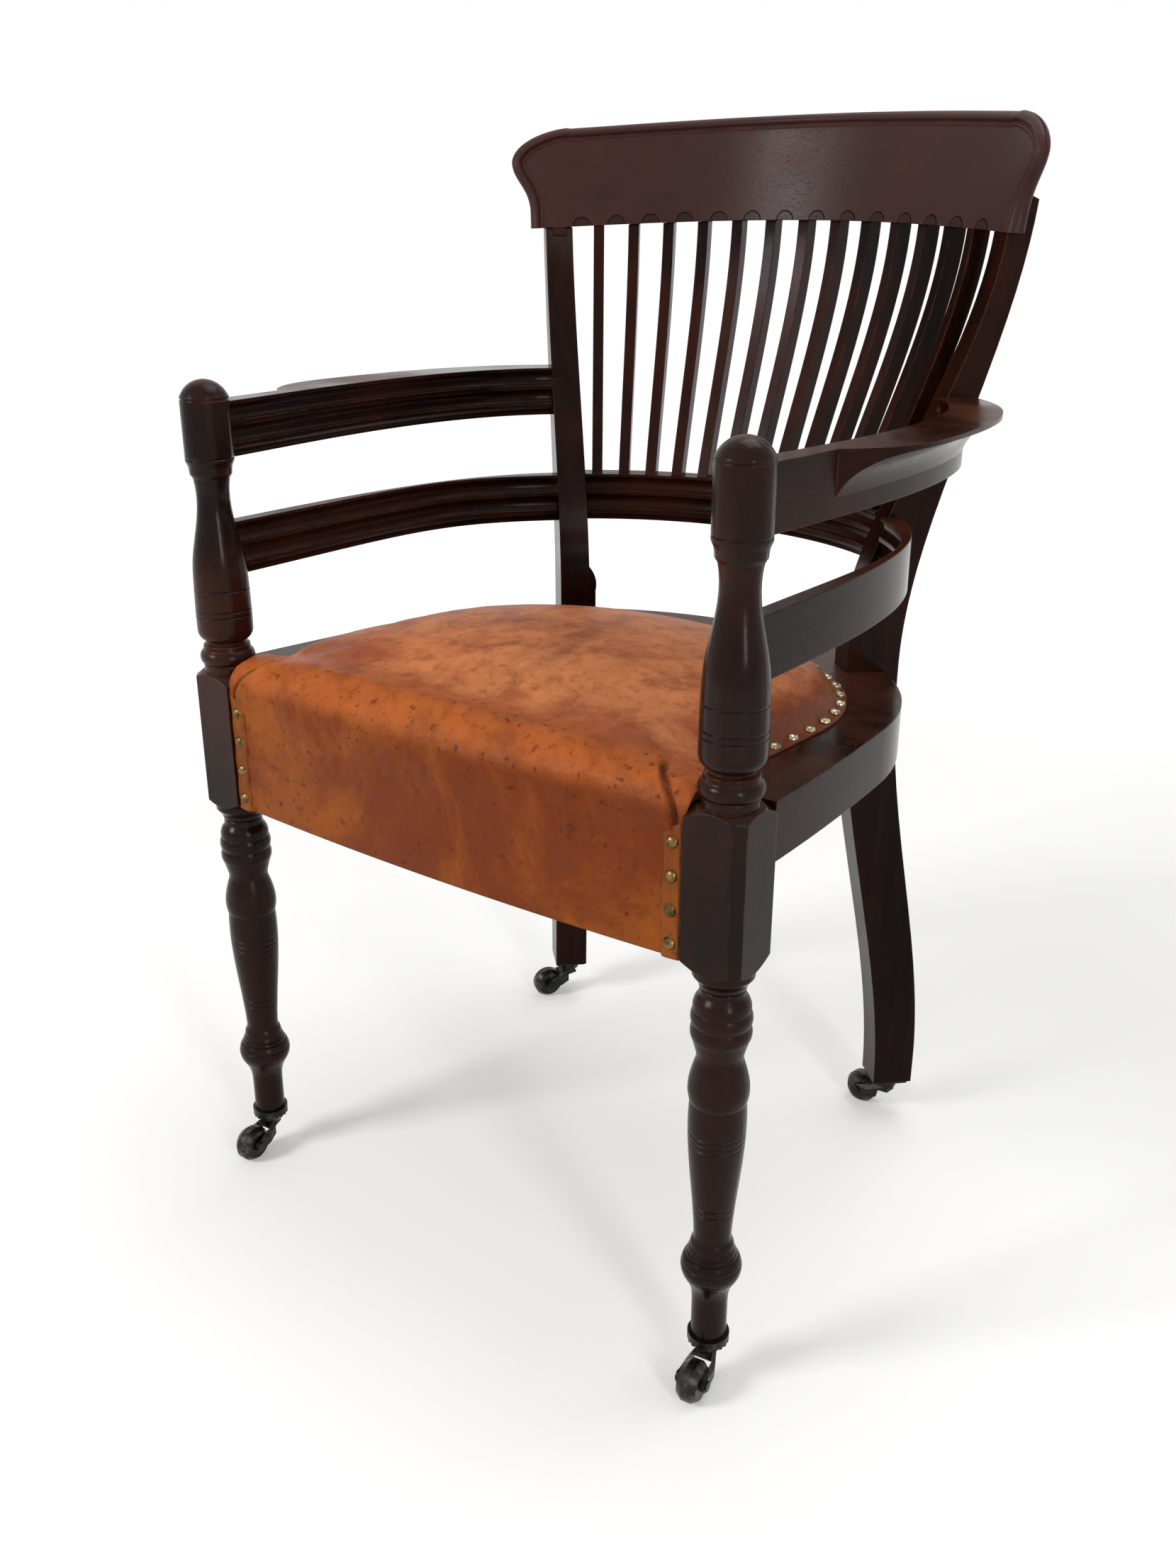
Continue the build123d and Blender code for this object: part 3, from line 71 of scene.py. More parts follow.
class Shader:
    """A short way to write a material's node tree."""

    def __init__(self, name):
        self.material = bpy.data.materials.new(name)
        self.material.use_nodes = True
        self.tree = self.material.node_tree
        self.tree.nodes.clear()
        self.output = self.tree.nodes.new("ShaderNodeOutputMaterial")
        self.point = self.node("TexCoord").outputs["Object"]

    def node(self, kind, inputs=(), **settings):
        node = self.tree.nodes.new("ShaderNode" + kind)
        for key, value in settings.items():
            setattr(node, key, value)
        for key, value in dict(inputs).items():
            self.feed(node.inputs[key], value)
        return node

    def feed(self, socket, value):
        if isinstance(value, bpy.types.NodeSocket):
            self.tree.links.new(value, socket)
        else:
            socket.default_value = value

    def math(self, operation, *values):
        return self.node("Math", enumerate(values), operation=operation).outputs[0]

    def length(self, first, second):
        squares = [self.math("POWER", value, 2.0) for value in (first, second)]
        return self.math("SQRT", self.math("ADD", *squares))

    def stretch(self, scale):
        return self.node("Mapping", {"Vector": self.point, "Scale": scale}).outputs[0]

    def noise(self, vector, scale, detail=4.0, roughness=0.55, distortion=0.0):
        inputs = {
            "Vector": vector,
            "Scale": scale,
            "Detail": detail,
            "Roughness": roughness,
            "Distortion": distortion,
        }
        return self.node("TexNoise", inputs).outputs[0]

    def fade(self, value, start, end, low=0.0, high=1.0):
        """A smooth step of a value, from low at start to high at end."""
        inputs = {"Value": value, "From Min": start, "From Max": end, "To Min": low, "To Max": high}
        return self.node("MapRange", inputs, interpolation_type="SMOOTHSTEP").outputs[0]

    def mix(self, share, first, second):
        node = self.node("Mix", data_type="RGBA")
        self.feed(node.inputs[0], share)
        self.feed(node.inputs[6], first)
        self.feed(node.inputs[7], second)
        return node.outputs[2]

    def bump(self, height, distance, normal=None, strength=1.0):
        inputs = {"Height": height, "Distance": distance, "Strength": strength}
        if normal is not None:
            inputs["Normal"] = normal
        return self.node("Bump", inputs).outputs[0]

    def finish(self, **inputs):
        named = {key.replace("_", " "): value for key, value in inputs.items()}
        surface = self.node("BsdfPrincipled", named).outputs[0]
        self.tree.links.new(surface, self.output.inputs["Surface"])
        return self.material


def grooves(shader, height, lines):
    """The depth, from 0 to 1, of lines cut at given heights: each is (height, half width)."""
    total = 0.0
    for level, half in lines:
        away = shader.math("ABSOLUTE", shader.math("SUBTRACT", height, level))
        total = shader.math("MAXIMUM", total, shader.fade(away, half, 0.0))
    return total


def lunettes(shader, parts):
    """The half rounds cut over the gaps between the slats: how far inside one a point is, and its rim."""
    x, y, z = parts
    back = shader.math("SUBTRACT", y, BACK_AXIS)
    angle = shader.math("ARCTAN2", x, back)
    share = shader.math("FRACT", shader.math("ADD", shader.math("DIVIDE", angle, SLAT_PITCH), 20.0))
    across = shader.math("MULTIPLY", shader.math("SUBTRACT", share, 0.5), SLAT_PITCH * CREST_REACH)
    arch = shader.math("DIVIDE", shader.math("MULTIPLY", x, x), 2 * CREST_ARCH)
    rise = shader.math("ADD", shader.math("SUBTRACT", z, CREST_LOW), arch)
    away = shader.length(across, rise)
    reach = shader.length(x, back)
    front = shader.math("LESS_THAN", reach, CREST_REACH + LUNETTE_DEPTH)
    near = shader.math("LESS_THAN", shader.math("ABSOLUTE", angle), LUNETTE_SPREAD)
    shown = shader.math("MULTIPLY", front, near)
    within = shader.math("MULTIPLY", shader.fade(away, LUNETTE + 0.0005, LUNETTE - 0.0007), shown)
    off_rim = shader.math("ABSOLUTE", shader.math("SUBTRACT", away, LUNETTE))
    rim = shader.math("MULTIPLY", shader.fade(off_rim, 0.0012, 0.0), shown)
    return within, rim


def wood(name, along, red=0.5, lines=(), carved=False, polish=0.14, pale=0.0, gloss=0.07):
    """Dark polished mahogany with its grain along one axis, worn redder on its tops and at its edges.

    lines are the heights cut round a turning, which is also painted darker below the seat as shade, with painted
    shade in its cuts; carved adds the half rounds, with painted shade in them and on their rims.
    """
    shader = Shader(name)
    long_grain = [26.0, 26.0, 26.0]
    long_grain[along] = 2.2
    pore_grain = [2600.0, 2600.0, 2600.0]
    pore_grain[along] = 170.0
    parts = shader.node("SeparateXYZ", {"Vector": shader.point}).outputs
    figure = shader.noise(shader.stretch(long_grain), 1.0, 7.0, 0.62, 0.8)
    ribbon = shader.noise(shader.stretch([c * 3.5 for c in long_grain]), 1.0, 3.0, 0.5, 0.3)
    patch = shader.noise(shader.point, 7.0, 3.0, 0.6)
    pores = shader.fade(shader.noise(shader.stretch(pore_grain), 1.0, 2.0, 0.5), 0.60, 0.72)
    bevel = shader.node("Bevel", {"Radius": 0.0016}, samples=4)
    plain = shader.node("NewGeometry").outputs["Normal"]
    turn = shader.node("VectorMath", {0: bevel.outputs[0], 1: plain}, operation="DOT_PRODUCT").outputs["Value"]
    edge = shader.fade(turn, 0.995, 0.90)
    rub = shader.fade(shader.noise(shader.point, 38.0, 4.0, 0.7), 0.42, 0.62)
    upward = shader.node("SeparateXYZ", {"Vector": plain}).outputs[2]
    top = shader.math("MULTIPLY", shader.fade(upward, 0.75, 0.97), shader.fade(patch, 0.30, 0.60))
    worn = shader.math("MULTIPLY", edge, rub)

    base = shader.mix(shader.fade(figure, 0.32, 0.68), colour("#0f0604"), colour("#210d07"))
    base = shader.mix(shader.math("MULTIPLY", shader.fade(ribbon, 0.45, 0.75), 0.5), base, colour("#2c110a"))
    base = shader.mix(shader.math("MULTIPLY", shader.fade(patch, 0.42, 0.70), red), base, colour("#3d170b"))
    # A greyish share over the crest's colour: a painted sheen, the white room's reflection painted into the wood.
    if pale:
        base = shader.mix(pale, base, colour("#4d3230"))
    base = shader.mix(shader.math("MULTIPLY", top, 0.45), base, colour("#57301f"))
    base = shader.mix(shader.math("MULTIPLY", pores, 0.7), base, colour("#0b0504"))
    base = shader.mix(shader.math("MULTIPLY", worn, 0.55), base, colour("#7b4128"))
    height = shader.math("MULTIPLY", pores, -0.05)
    if lines:
        # Painted shade: the turning is painted darker below the seat, and its cut lines are painted dark as the
        # shade inside them.
        base = shader.mix(shader.fade(parts[2], 0.50, 0.30, 0.0, 0.6), base, colour("#0e0503"))
        cut = grooves(shader, parts[2], lines)
        base = shader.mix(shader.math("MULTIPLY", cut, 0.8), base, colour("#060302"))
        height = shader.math("SUBTRACT", height, cut)
    if carved:
        within, rim = lunettes(shader, parts)
        # Painted shade inside the half rounds, and a painted shadow line round their rims.
        base = shader.mix(shader.math("MULTIPLY", within, 0.45), base, colour("#0d0605"))
        base = shader.mix(shader.math("MULTIPLY", rim, 0.75), base, colour("#050202"))
        height = shader.math("SUBTRACT", height, within)
    rough = shader.fade(patch, 0.30, 0.70, polish, polish + 0.12)
    rough = shader.math("ADD", rough, shader.math("MULTIPLY", shader.math("ADD", worn, top), 0.12))
    return shader.finish(
        Base_Color=base,
        Roughness=rough,
        Normal=shader.bump(height, 0.001, bevel.outputs[0], 0.8),
        Specular_IOR_Level=gloss,
    )


def leather(name, strip=False):
    """Old tan hide: dark and red on the crown, spotted down the front, with a painted orange highlight along the
    front roll and the apron painted darker, partly its own tone and partly painted shade.
    """
    shader = Shader(name)
    parts = shader.node("SeparateXYZ", {"Vector": shader.point}).outputs
    cloud = shader.noise(shader.point, 7.0, 10.0, 0.72, 0.6)
    stain = shader.noise(shader.stretch((1.0, 0.75, 1.0)), 9.0, 10.0, 0.70, 0.5)
    fine = shader.noise(shader.point, 85.0, 6.0, 0.7)
    spots = shader.fade(shader.noise(shader.point, 170.0, 2.0, 0.5), 0.62, 0.70)
    blots = shader.fade(shader.noise(shader.point, 48.0, 3.0, 0.6, 0.5), 0.66, 0.72)
    top = shader.fade(parts[1], POST_LINE, POST_LINE + 0.030)
    # A band along the front roll, for its painted highlight.
    roll = shader.math("SUBTRACT", parts[2], SEAT_LEVEL + 0.012)
    roll = shader.fade(shader.math("ABSOLUTE", roll), 0.022, 0.004)
    front = shader.fade(parts[1], POST_LINE + 0.035, POST_LINE + 0.005)
    roll = shader.math("MULTIPLY", roll, front)

    # The apron's colours are darker than the crown's: partly the hide's own tone, partly painted shade on the
    # front face, which gets less light from above.
    apron = shader.mix(shader.fade(cloud, 0.40, 0.60), colour("#74310b"), colour("#954d13"))
    crown = shader.mix(shader.fade(cloud, 0.38, 0.60), colour("#9e4d2b"), colour("#cb7d4c"))
    base = shader.mix(top, apron, crown)
    # Painted orange highlight along the front roll.
    base = shader.mix(shader.math("MULTIPLY", roll, 0.70), base, colour("#c2662e"))
    dark = shader.math("MULTIPLY", shader.fade(stain, 0.48, 0.70), shader.fade(top, 0.0, 1.0, 0.30, 0.62))
    base = shader.mix(dark, base, colour("#5f2912"))
    mottle = shader.noise(shader.point, 24.0, 9.0, 0.72, 0.2)
    base = shader.mix(shader.fade(mottle, 0.46, 0.66, 0.0, 0.45), base, colour("#6a2e10"))
    base = shader.mix(shader.fade(fine, 0.46, 0.70, 0.0, 0.35), base, colour("#652c0f"))
    specks = shader.math("MULTIPLY", spots, shader.fade(stain, 0.38, 0.54, 0.10, 0.60))
    specks = shader.math("MAXIMUM", specks, shader.math("MULTIPLY", blots, 0.35))
    specks = shader.math("MULTIPLY", specks, shader.fade(top, 0.0, 1.0, 1.0, 0.30))
    base = shader.mix(specks, base, colour("#3a180b"))
    # Painted shade in the corner folds, from the hide's fold marks.
    fold_shade = shader.node("Attribute", attribute_name="fold").outputs["Fac"]
    base = shader.mix(shader.math("MULTIPLY", fold_shade, 0.85), base, colour("#2a1007"))
    # The hide is darker near its nailed edge on the crown.
    edge_darkening = shader.node("Attribute", attribute_name="edge_darkening").outputs["Fac"]
    base = shader.mix(shader.math("MULTIPLY", edge_darkening, 0.62), base, colour("#4a2010"))
    if strip:
        base = shader.mix(0.35, base, colour("#8a5020"))

    cells = shader.node("TexVoronoi", {"Vector": shader.point, "Scale": 900.0}, feature="DISTANCE_TO_EDGE")
    grain = shader.fade(cells.outputs["Distance"], 0.0, 0.12)
    crease = shader.noise(shader.stretch((1.0, 1.6, 1.0)), 30.0, 6.0, 0.62, 0.6)
    normal = shader.bump(grain, 0.00014)
    normal = shader.bump(crease, 0.0024, normal, 0.5)
    polish = shader.fade(cloud, 0.30, 0.70, 0.34, 0.50)
    return shader.finish(
        Base_Color=base,
        Roughness=shader.math("ADD", polish, shader.math("MULTIPLY", dark, -0.08)),
        Normal=normal,
        Specular_IOR_Level=0.10,
    )


def brass(name, light, dark, polish):
    shader = Shader(name)
    tarnish = shader.fade(shader.noise(shader.point, 160.0, 5.0, 0.7), 0.42, 0.66)
    pits = shader.noise(shader.point, 700.0, 3.0, 0.6)
    return shader.finish(
        Base_Color=shader.mix(tarnish, colour(light), colour(dark)),
        Metallic=0.92,
        Roughness=shader.fade(tarnish, 0.0, 1.0, polish, polish + 0.24),
        Normal=shader.bump(pits, 0.0003, None, 0.5),
    )


def iron(name, light, dark):
    """Black japanned iron, rubbed to bare metal here and there."""
    shader = Shader(name)
    rub = shader.fade(shader.noise(shader.point, 85.0, 6.0, 0.7), 0.48, 0.66)
    cast = shader.noise(shader.point, 420.0, 4.0, 0.6)
    return shader.finish(
        Base_Color=shader.mix(rub, colour(dark), colour(light)),
        Metallic=0.55,
        Roughness=shader.fade(rub, 0.0, 1.0, 0.30, 0.46),
        Normal=shader.bump(cast, 0.0004, None, 0.5),
    )


def weave(name, light, dark, pitch):
    """Plain woven jute: crossing threads at a pitch."""
    shader = Shader(name)
    parts = shader.node("SeparateXYZ", {"Vector": shader.point}).outputs
    rate = 2 * math.pi / pitch
    warp = shader.math("SINE", shader.math("MULTIPLY", parts[0], rate))
    weft = shader.math("SINE", shader.math("MULTIPLY", parts[1], rate))
    thread = shader.fade(shader.math("MULTIPLY", warp, weft), -1.0, 1.0)
    fibre = shader.noise(shader.point, 240.0, 5.0, 0.7)
    base = shader.mix(thread, colour(dark), colour(light))
    base = shader.mix(shader.fade(fibre, 0.40, 0.70, 0.0, 0.5), base, colour(dark))
    return shader.finish(
        Base_Color=base,
        Roughness=0.92,
        Sheen_Weight=0.2,
        Normal=shader.bump(thread, 0.0006),
    )


POST_LINES = (
    (0.6490, 0.0011), (0.5440, 0.0010), (0.5270, 0.0010), (0.5225, 0.0010),
    (0.3460, 0.0012), (0.3410, 0.0012), (0.2260, 0.0010), (0.2210, 0.0010), (0.2160, 0.0010),
    (0.1630, 0.0010), (0.1570, 0.0010), (0.1200, 0.0011), (0.1165, 0.0011), (0.1100, 0.0012), (0.0998, 0.0012),
)
X, Y, Z = 0, 1, 2
TURNED = wood("mahogany_turned", Z, 0.60, POST_LINES, gloss=0.12)
UPRIGHT = wood("mahogany_upright", Z, 0.55)
ACROSS = wood("mahogany_across", X, 0.45)
CARVED = wood("mahogany_carved", X, 0.50, (), True, 0.30, 0.50, 0.11)
DEEP = wood("mahogany_deep", Y, 0.40)
HIDE = leather("tan_hide")
STRIP = leather("tan_hide_strip", True)
# Two copies of one brass: the brighter one, on the seat's edge nails, is a painted highlight; the darker one, on
# the apron nails, is partly tarnish and partly painted shade.
BRASS = brass("aged_shaded_brass", "#7b6136", "#30251a", 0.28)
LIT_BRASS = brass("lit_brass", "#bfb094", "#5d4a32", 0.20)
WHEEL_IRON = iron("wheel_iron", "#4a4743", "#161514")
CASTER_IRON = iron("caster_iron", "#3a3632", "#0d0c0c")
JUTE = weave("jute_webbing", "#a58a5e", "#6f5735", 0.0028)
HESSIAN = weave("hessian_weave", "#b79d70", "#7c6540", 0.0017)

FINISHES = (
    ("front_post", TURNED),
    ("crest_rail", CARVED),
    ("back_slat", UPRIGHT),
    ("rear_stile", UPRIGHT),
    ("lower_back_rail", ACROSS),
    ("back_seat_rail", ACROSS),
    ("front_seat_rail", ACROSS),
    ("corner_blocks", ACROSS),
    ("upper_arm", DEEP),
    ("lower_arm", DEEP),
    ("side_seat_rail", DEEP),
    ("edge_nails", LIT_BRASS),
    ("apron_nails", BRASS),
    ("caster_wheel", WHEEL_IRON),
    ("caster_", CASTER_IRON),
    ("webbing", JUTE),
    ("hessian", HESSIAN),
    ("seat_stuffing", JUTE),
    ("leather_cover", HIDE),
)
for name, node in nodes.items():
    finish = next(material for start, material in FINISHES if name.startswith(start))
    node.data.materials.clear()
    node.data.materials.append(finish)


# Seat leather: one hide over the crown, over the front roll and down the apron
HALF_FRONT = 0.2215                     # half width between the post blocks
HALF_SIDE = 0.218                       # half width behind them
SIDE_EASE = 0.0235                      # length over which one runs into the other
CORNER_LINE = POST_LINE + 0.169         # where the rear corners begin
CORNER_RADIUS = 0.190
CORNER_TURN = math.radians(55.0)
FACE_LINE = POST_LINE - 0.019           # the apron's face at its ends
FACE_BOW = 0.008
APRON_LOW = 0.362
ROLL_LEVEL = 0.489                      # top of the front roll at its ends
ROLL_ARCH = 0.0015
BAND = 0.011                            # width of the flat nailed band
SWELL = 0.015                           # distance over which the crown rises inside the band
VALLEY = 0.05                           # distance over which the roll runs into the crown in the middle
VALLEY_LIFT = 0.006                     # how much higher the valley is at the sides
CROWN_HALF = 0.2245                     # half width of the arched crown
STEP = 0.005                            # of the hide's mesh
HIDE_THICK = 0.002
# The roll's section: distance behind the apron's face, and height from the top of the roll
ROLL = (
    (0.044, -0.0010), (0.034, -0.0006), (0.026, 0.0), (0.018, -0.0008), (0.010, -0.0038), (0.004, -0.0088),
    (0.0, -0.015), (-0.0022, -0.022), (-0.0022, -0.030), (-0.0006, -0.040), (0.0, -0.052),
)
# The crown over the seat plane: distance behind the post line, height in the middle, height near the sides
CROWN = (
    (-0.04, 0.014, 0.014), (0.0, 0.018, 0.0180), (0.041, 0.029, 0.0210), (0.112, 0.0420, 0.0155),
    (0.180, 0.0435, 0.0110), (0.248, 0.0365, 0.0065), (0.311, 0.0225, 0.002), (0.368, 0.006, -0.002),
    (0.40, 0.0, -0.004),
)


def smooth(t):
    t = min(1.0, max(0.0, t))
    return t * t * (3 - 2 * t)


def along_table(table, value, column):
    """A smooth curve through one column of a table whose first column rises."""
    spot = max(1, min(len(table) - 3, sum(row[0] <= value for row in table) - 1))
    before, start, end, after = (table[spot + k] for k in (-1, 0, 1, 2))
    span = end[0] - start[0]
    t = min(1.0, max(0.0, (value - start[0]) / span))
    enter = (end[column] - before[column]) / (end[0] - before[0]) * span
    leave = (after[column] - start[column]) / (after[0] - start[0]) * span
    rise = end[column] - start[column]
    cube = enter + leave - 2 * rise
    square = 3 * rise - 2 * enter - leave
    return start[column] + t * (enter + t * (square + t * cube))


def face_at(x):
    return FACE_LINE - FACE_BOW * (1 - (x / HALF_FRONT) ** 2)


def roll_top(x):
    return ROLL_LEVEL + ROLL_ARCH * (1 - (x / HALF_FRONT) ** 2)


def seat_plane(y):
    return SEAT_LEVEL - SEAT_FALL * (y - POST_LINE - HALF_BLOCK)


ROLL_STARTS = [0.0]
for near, far in zip(ROLL, ROLL[1:]):
    ROLL_STARTS.append(ROLL_STARTS[-1] + math.dist(near, far))
ROLL_TABLE = [(start, *spot) for start, spot in zip(ROLL_STARTS, ROLL)]
ROLL_TABLE = [(-0.010, 0.054, -0.001), *ROLL_TABLE, (ROLL_STARTS[-1] + 0.01, 0.0, ROLL[-1][1] - 0.01)]
ROLL_DEPTH = ROLL[0][0]
ROLL_LENGTH = ROLL_STARTS[-1]


def hide_bottom(x):
    """Where the apron's lower edge is on the unrolled hide."""
    return face_at(x) + ROLL_DEPTH - ROLL_LENGTH - (roll_top(x) + ROLL[-1][1] - APRON_LOW)


def half_width(y):
    return HALF_SIDE + (HALF_FRONT - HALF_SIDE) * (1 - smooth((y - POST_LINE) / SIDE_EASE))


def edge_distance(x, y):
    """How far a point of the hide's top lies inside its nailed edge."""
    x = abs(x)
    centre = HALF_SIDE - CORNER_RADIUS
    if y <= CORNER_LINE:
        return half_width(y) - x
    out = Vector((x - centre, y - CORNER_LINE))
    if math.atan2(out.y, out.x) <= CORNER_TURN:
        return CORNER_RADIUS - out.length
    flat = centre / math.cos(CORNER_TURN)
    middle = CORNER_LINE - flat * math.sin(CORNER_TURN)
    return CORNER_RADIUS + flat - math.hypot(x, y - middle)


def crown_height(x, y):
    back = y - POST_LINE
    middle = along_table(CROWN, back, 1)
    side = along_table(CROWN, back, 2)
    arch = 1 - (x / CROWN_HALF) ** 2
    sideways = (x / HALF_FRONT) ** 2
    full = seat_plane(y) + side + (middle - side) * arch
    behind = back - (face_at(x) - POST_LINE) - ROLL_DEPTH
    valley = roll_top(x) + ROLL[0][1] + VALLEY_LIFT * smooth(behind / 0.03) * sideways
    full = valley + (full - valley) * smooth(behind / (VALLEY + VALLEY * sideways))
    flat = seat_plane(y) + HIDE_THICK
    t = min(1.0, max(0.0, (edge_distance(x, y) - BAND + 0.001) / SWELL))
    swell = math.sqrt(1 - (1 - t) ** 2)
    return flat + max(0.0, full - flat) * swell


# At each front corner the hide is tucked in and lapped over the post's block, with one fold down the roll
TUCK = 0.003
TUCK_WIDTH = 0.018
LAP = 0.006
FOLD_IN = 0.190                         # from the middle of the seat to the fold's upper end
FOLD_DRIFT = 0.025                      # how much further out its lower end is
FOLD_START = 0.012                      # its ends along the roll's section
FOLD_END = 0.070
FOLD_FADE = 0.012
FOLD_HALF = 0.0018
FOLD_DEPTH = 0.0036
FOLD_ROWS = 24
FOLD_COLUMNS = (-0.0070, -0.0044, -0.0024, -0.0012, 0.0, 0.0012, 0.0024, 0.0044)


def hide_point(x, v):
    """A point of the unrolled hide in its place on the chair."""
    face = face_at(x)
    travel = face + ROLL_DEPTH - v
    if travel <= 0:
        return Vector((x, v, crown_height(x, v)))
    if travel >= ROLL_LENGTH:
        return Vector((x, face, roll_top(x) + ROLL[-1][1] - (travel - ROLL_LENGTH)))
    behind = along_table(ROLL_TABLE, travel, 1)
    height = roll_top(x) + along_table(ROLL_TABLE, travel, 2)
    t = min(1.0, max(0.0, (HALF_FRONT - abs(x)) / TUCK_WIDTH))
    above = smooth(1 - travel / ROLL_LENGTH)
    tuck = TUCK * (1 - math.sqrt(1 - (1 - t) ** 2)) * above
    lap = LAP * smooth((abs(x) - FOLD_IN) / (HALF_FRONT - FOLD_IN)) * above * smooth(travel / 0.010)
    return Vector((x + math.copysign(lap, x), face + behind, height - tuck))


def fold_line(travel):
    """Where the corner fold is, out from the middle of the seat."""
    return FOLD_IN + FOLD_DRIFT * smooth((travel - 0.014) / 0.050)


def fold_depth(off):
    return math.exp(-((off / FOLD_HALF) ** 2))


def pleat(x, v):
    """How deep the corner fold pulls the hide in, and 0 away from it."""
    travel = face_at(x) + ROLL_DEPTH - v
    if not FOLD_START < travel < FOLD_END:
        return 0.0
    fade_out = smooth((travel - FOLD_START) / FOLD_FADE) * smooth((FOLD_END - travel) / 0.010)
    off = abs(x) - fold_line(travel)
    fold = fold_depth(off) * FOLD_DEPTH
    lip = math.exp(-(((off + 0.005) / 0.0030) ** 2)) * 0.0012
    tucked = smooth(off / 0.003) * 0.0010
    return (fold - lip + tucked) * fade_out


def fold_spots():
    """Points of the unrolled hide along both corner folds."""
    spots = []
    for k in range(FOLD_ROWS + 1):
        travel = FOLD_START + (FOLD_END - FOLD_START) * k / FOLD_ROWS
        for off in FOLD_COLUMNS:
            x = fold_line(travel) + off
            spots += [Vector((side * x, face_at(x) + ROLL_DEPTH - travel)) for side in (1, -1)]
    return spots


def hide_outline():
    """The unrolled hide's edge, anticlockwise from its lower right corner."""
    points = []
    count = round(2 * HALF_FRONT / STEP)
    for i in range(count + 1):
        x = -HALF_FRONT + 2 * HALF_FRONT * i / count
        points.append((x, hide_bottom(x)))
    side = []
    start = hide_bottom(HALF_FRONT)
    count = round((CORNER_LINE - start) / STEP)
    for i in range(1, count + 1):
        v = start + (CORNER_LINE - start) * i / count
        side.append((half_width(v), v))
    centre = HALF_SIDE - CORNER_RADIUS
    flat = centre / math.cos(CORNER_TURN)
    count = round(CORNER_RADIUS * CORNER_TURN / STEP)
    for i in range(1, count + 1):
        a = CORNER_TURN * i / count
        side.append((centre + CORNER_RADIUS * math.cos(a), CORNER_LINE + CORNER_RADIUS * math.sin(a)))
    middle = CORNER_LINE - flat * math.sin(CORNER_TURN)
    radius = CORNER_RADIUS + flat
    count = round(radius * (math.pi / 2 - CORNER_TURN) / STEP)
    for i in range(1, count):
        a = CORNER_TURN + (math.pi / 2 - CORNER_TURN) * i / count
        side.append((radius * math.cos(a), middle + radius * math.sin(a)))
    points += side
    points.append((0.0, middle + radius))
    return points + [(-x, v) for x, v in reversed(side)]


def inside(point, loop):
    x, v = point
    crossings = 0
    for (ax, av), (bx, bv) in zip(loop, loop[1:] + loop[:1]):
        if (av > v) != (bv > v) and x < ax + (bx - ax) * (v - av) / (bv - av):
            crossings += 1
    return crossings % 2 == 1


def hide_mesh(name):
    """The hide triangulated flat at an even step, then set in its place; held marks its pinned edge."""
    loop = hide_outline()
    spots = [Vector(p) for p in loop]
    low = min(v for _, v in loop)
    high = max(v for _, v in loop)
    row_step = STEP * math.sqrt(3) / 2
    folds = fold_spots()
    spots += folds
    for row in range(int((high - low) / row_step) + 1):
        v = low + row * row_step
        for column in range(-int(HALF_FRONT / STEP) - 1, int(HALF_FRONT / STEP) + 2):
            x = (column + 0.5 * (row % 2)) * STEP
            spot = Vector((x, v))
            clear = v - hide_bottom(x) > STEP * 0.6 and edge_distance(x, v) > STEP * 0.6
            clear = clear and min((spot - fold).length for fold in folds) > STEP * 0.55
            if clear and inside((x, v), loop):
                spots.append(spot)
    edges = [(i, (i + 1) % len(loop)) for i in range(len(loop))]
    flat, _, faces, *_ = delaunay_2d_cdt(spots, edges, [], 1, 1e-6)
    mesh = bpy.data.meshes.new(name)
    mesh.from_pydata([hide_point(*p) for p in flat], [], faces)
    piece = bpy.data.objects.new(name, mesh)
    bpy.context.scene.collection.objects.link(piece)
    held = piece.vertex_groups.new(name="held")
    for index, (x, v) in enumerate(flat):
        side = edge_distance(x, v)
        lower = v - hide_bottom(x)
        weight = 1 - smooth((min(side, lower) - BAND) / 0.012)
        travel = face_at(x) + ROLL_DEPTH - v
        weight = max(weight, 0.85 * smooth((travel - ROLL_LENGTH) / 0.02))
        if weight > 0:
            held.add([index], weight, "REPLACE")
    return piece, flat


CLOTH_FRAMES = 20
CLOTH_CAP = 0.006


def stretched(piece, cap):
    """The hide pulled tight over its stuffing by a short cloth run, each point moving no further than cap."""
    rest = [v.co.copy() for v in piece.data.vertices]
    cloth = piece.modifiers.new("stuffing", "CLOTH")
    settings = cloth.settings
    settings.quality = 6
    settings.mass = 0.4
    settings.tension_stiffness = 25.0
    settings.compression_stiffness = 20.0
    settings.shear_stiffness = 12.0
    settings.bending_stiffness = 2.0
    settings.use_pressure = True
    settings.uniform_pressure_force = 4.0
    settings.shrink_min = -0.006
    settings.vertex_group_mass = "held"
    settings.effector_weights.gravity = 0.0
    scene = bpy.context.scene
    for step in range(1, CLOTH_FRAMES + 1):
        scene.frame_set(step)
    deps = bpy.context.evaluated_depsgraph_get()
    moved = [v.co.copy() for v in piece.evaluated_get(deps).data.vertices]
    piece.modifiers.remove(cloth)
    scene.frame_set(1)
    for vertex, start, end in zip(piece.data.vertices, rest, moved):
        shift = end - start
        vertex.co = start + shift * min(1.0, cap / max(shift.length, 1e-9))


EDGE_DARKENING_WIDTH = 0.034                     # inside the nailed band


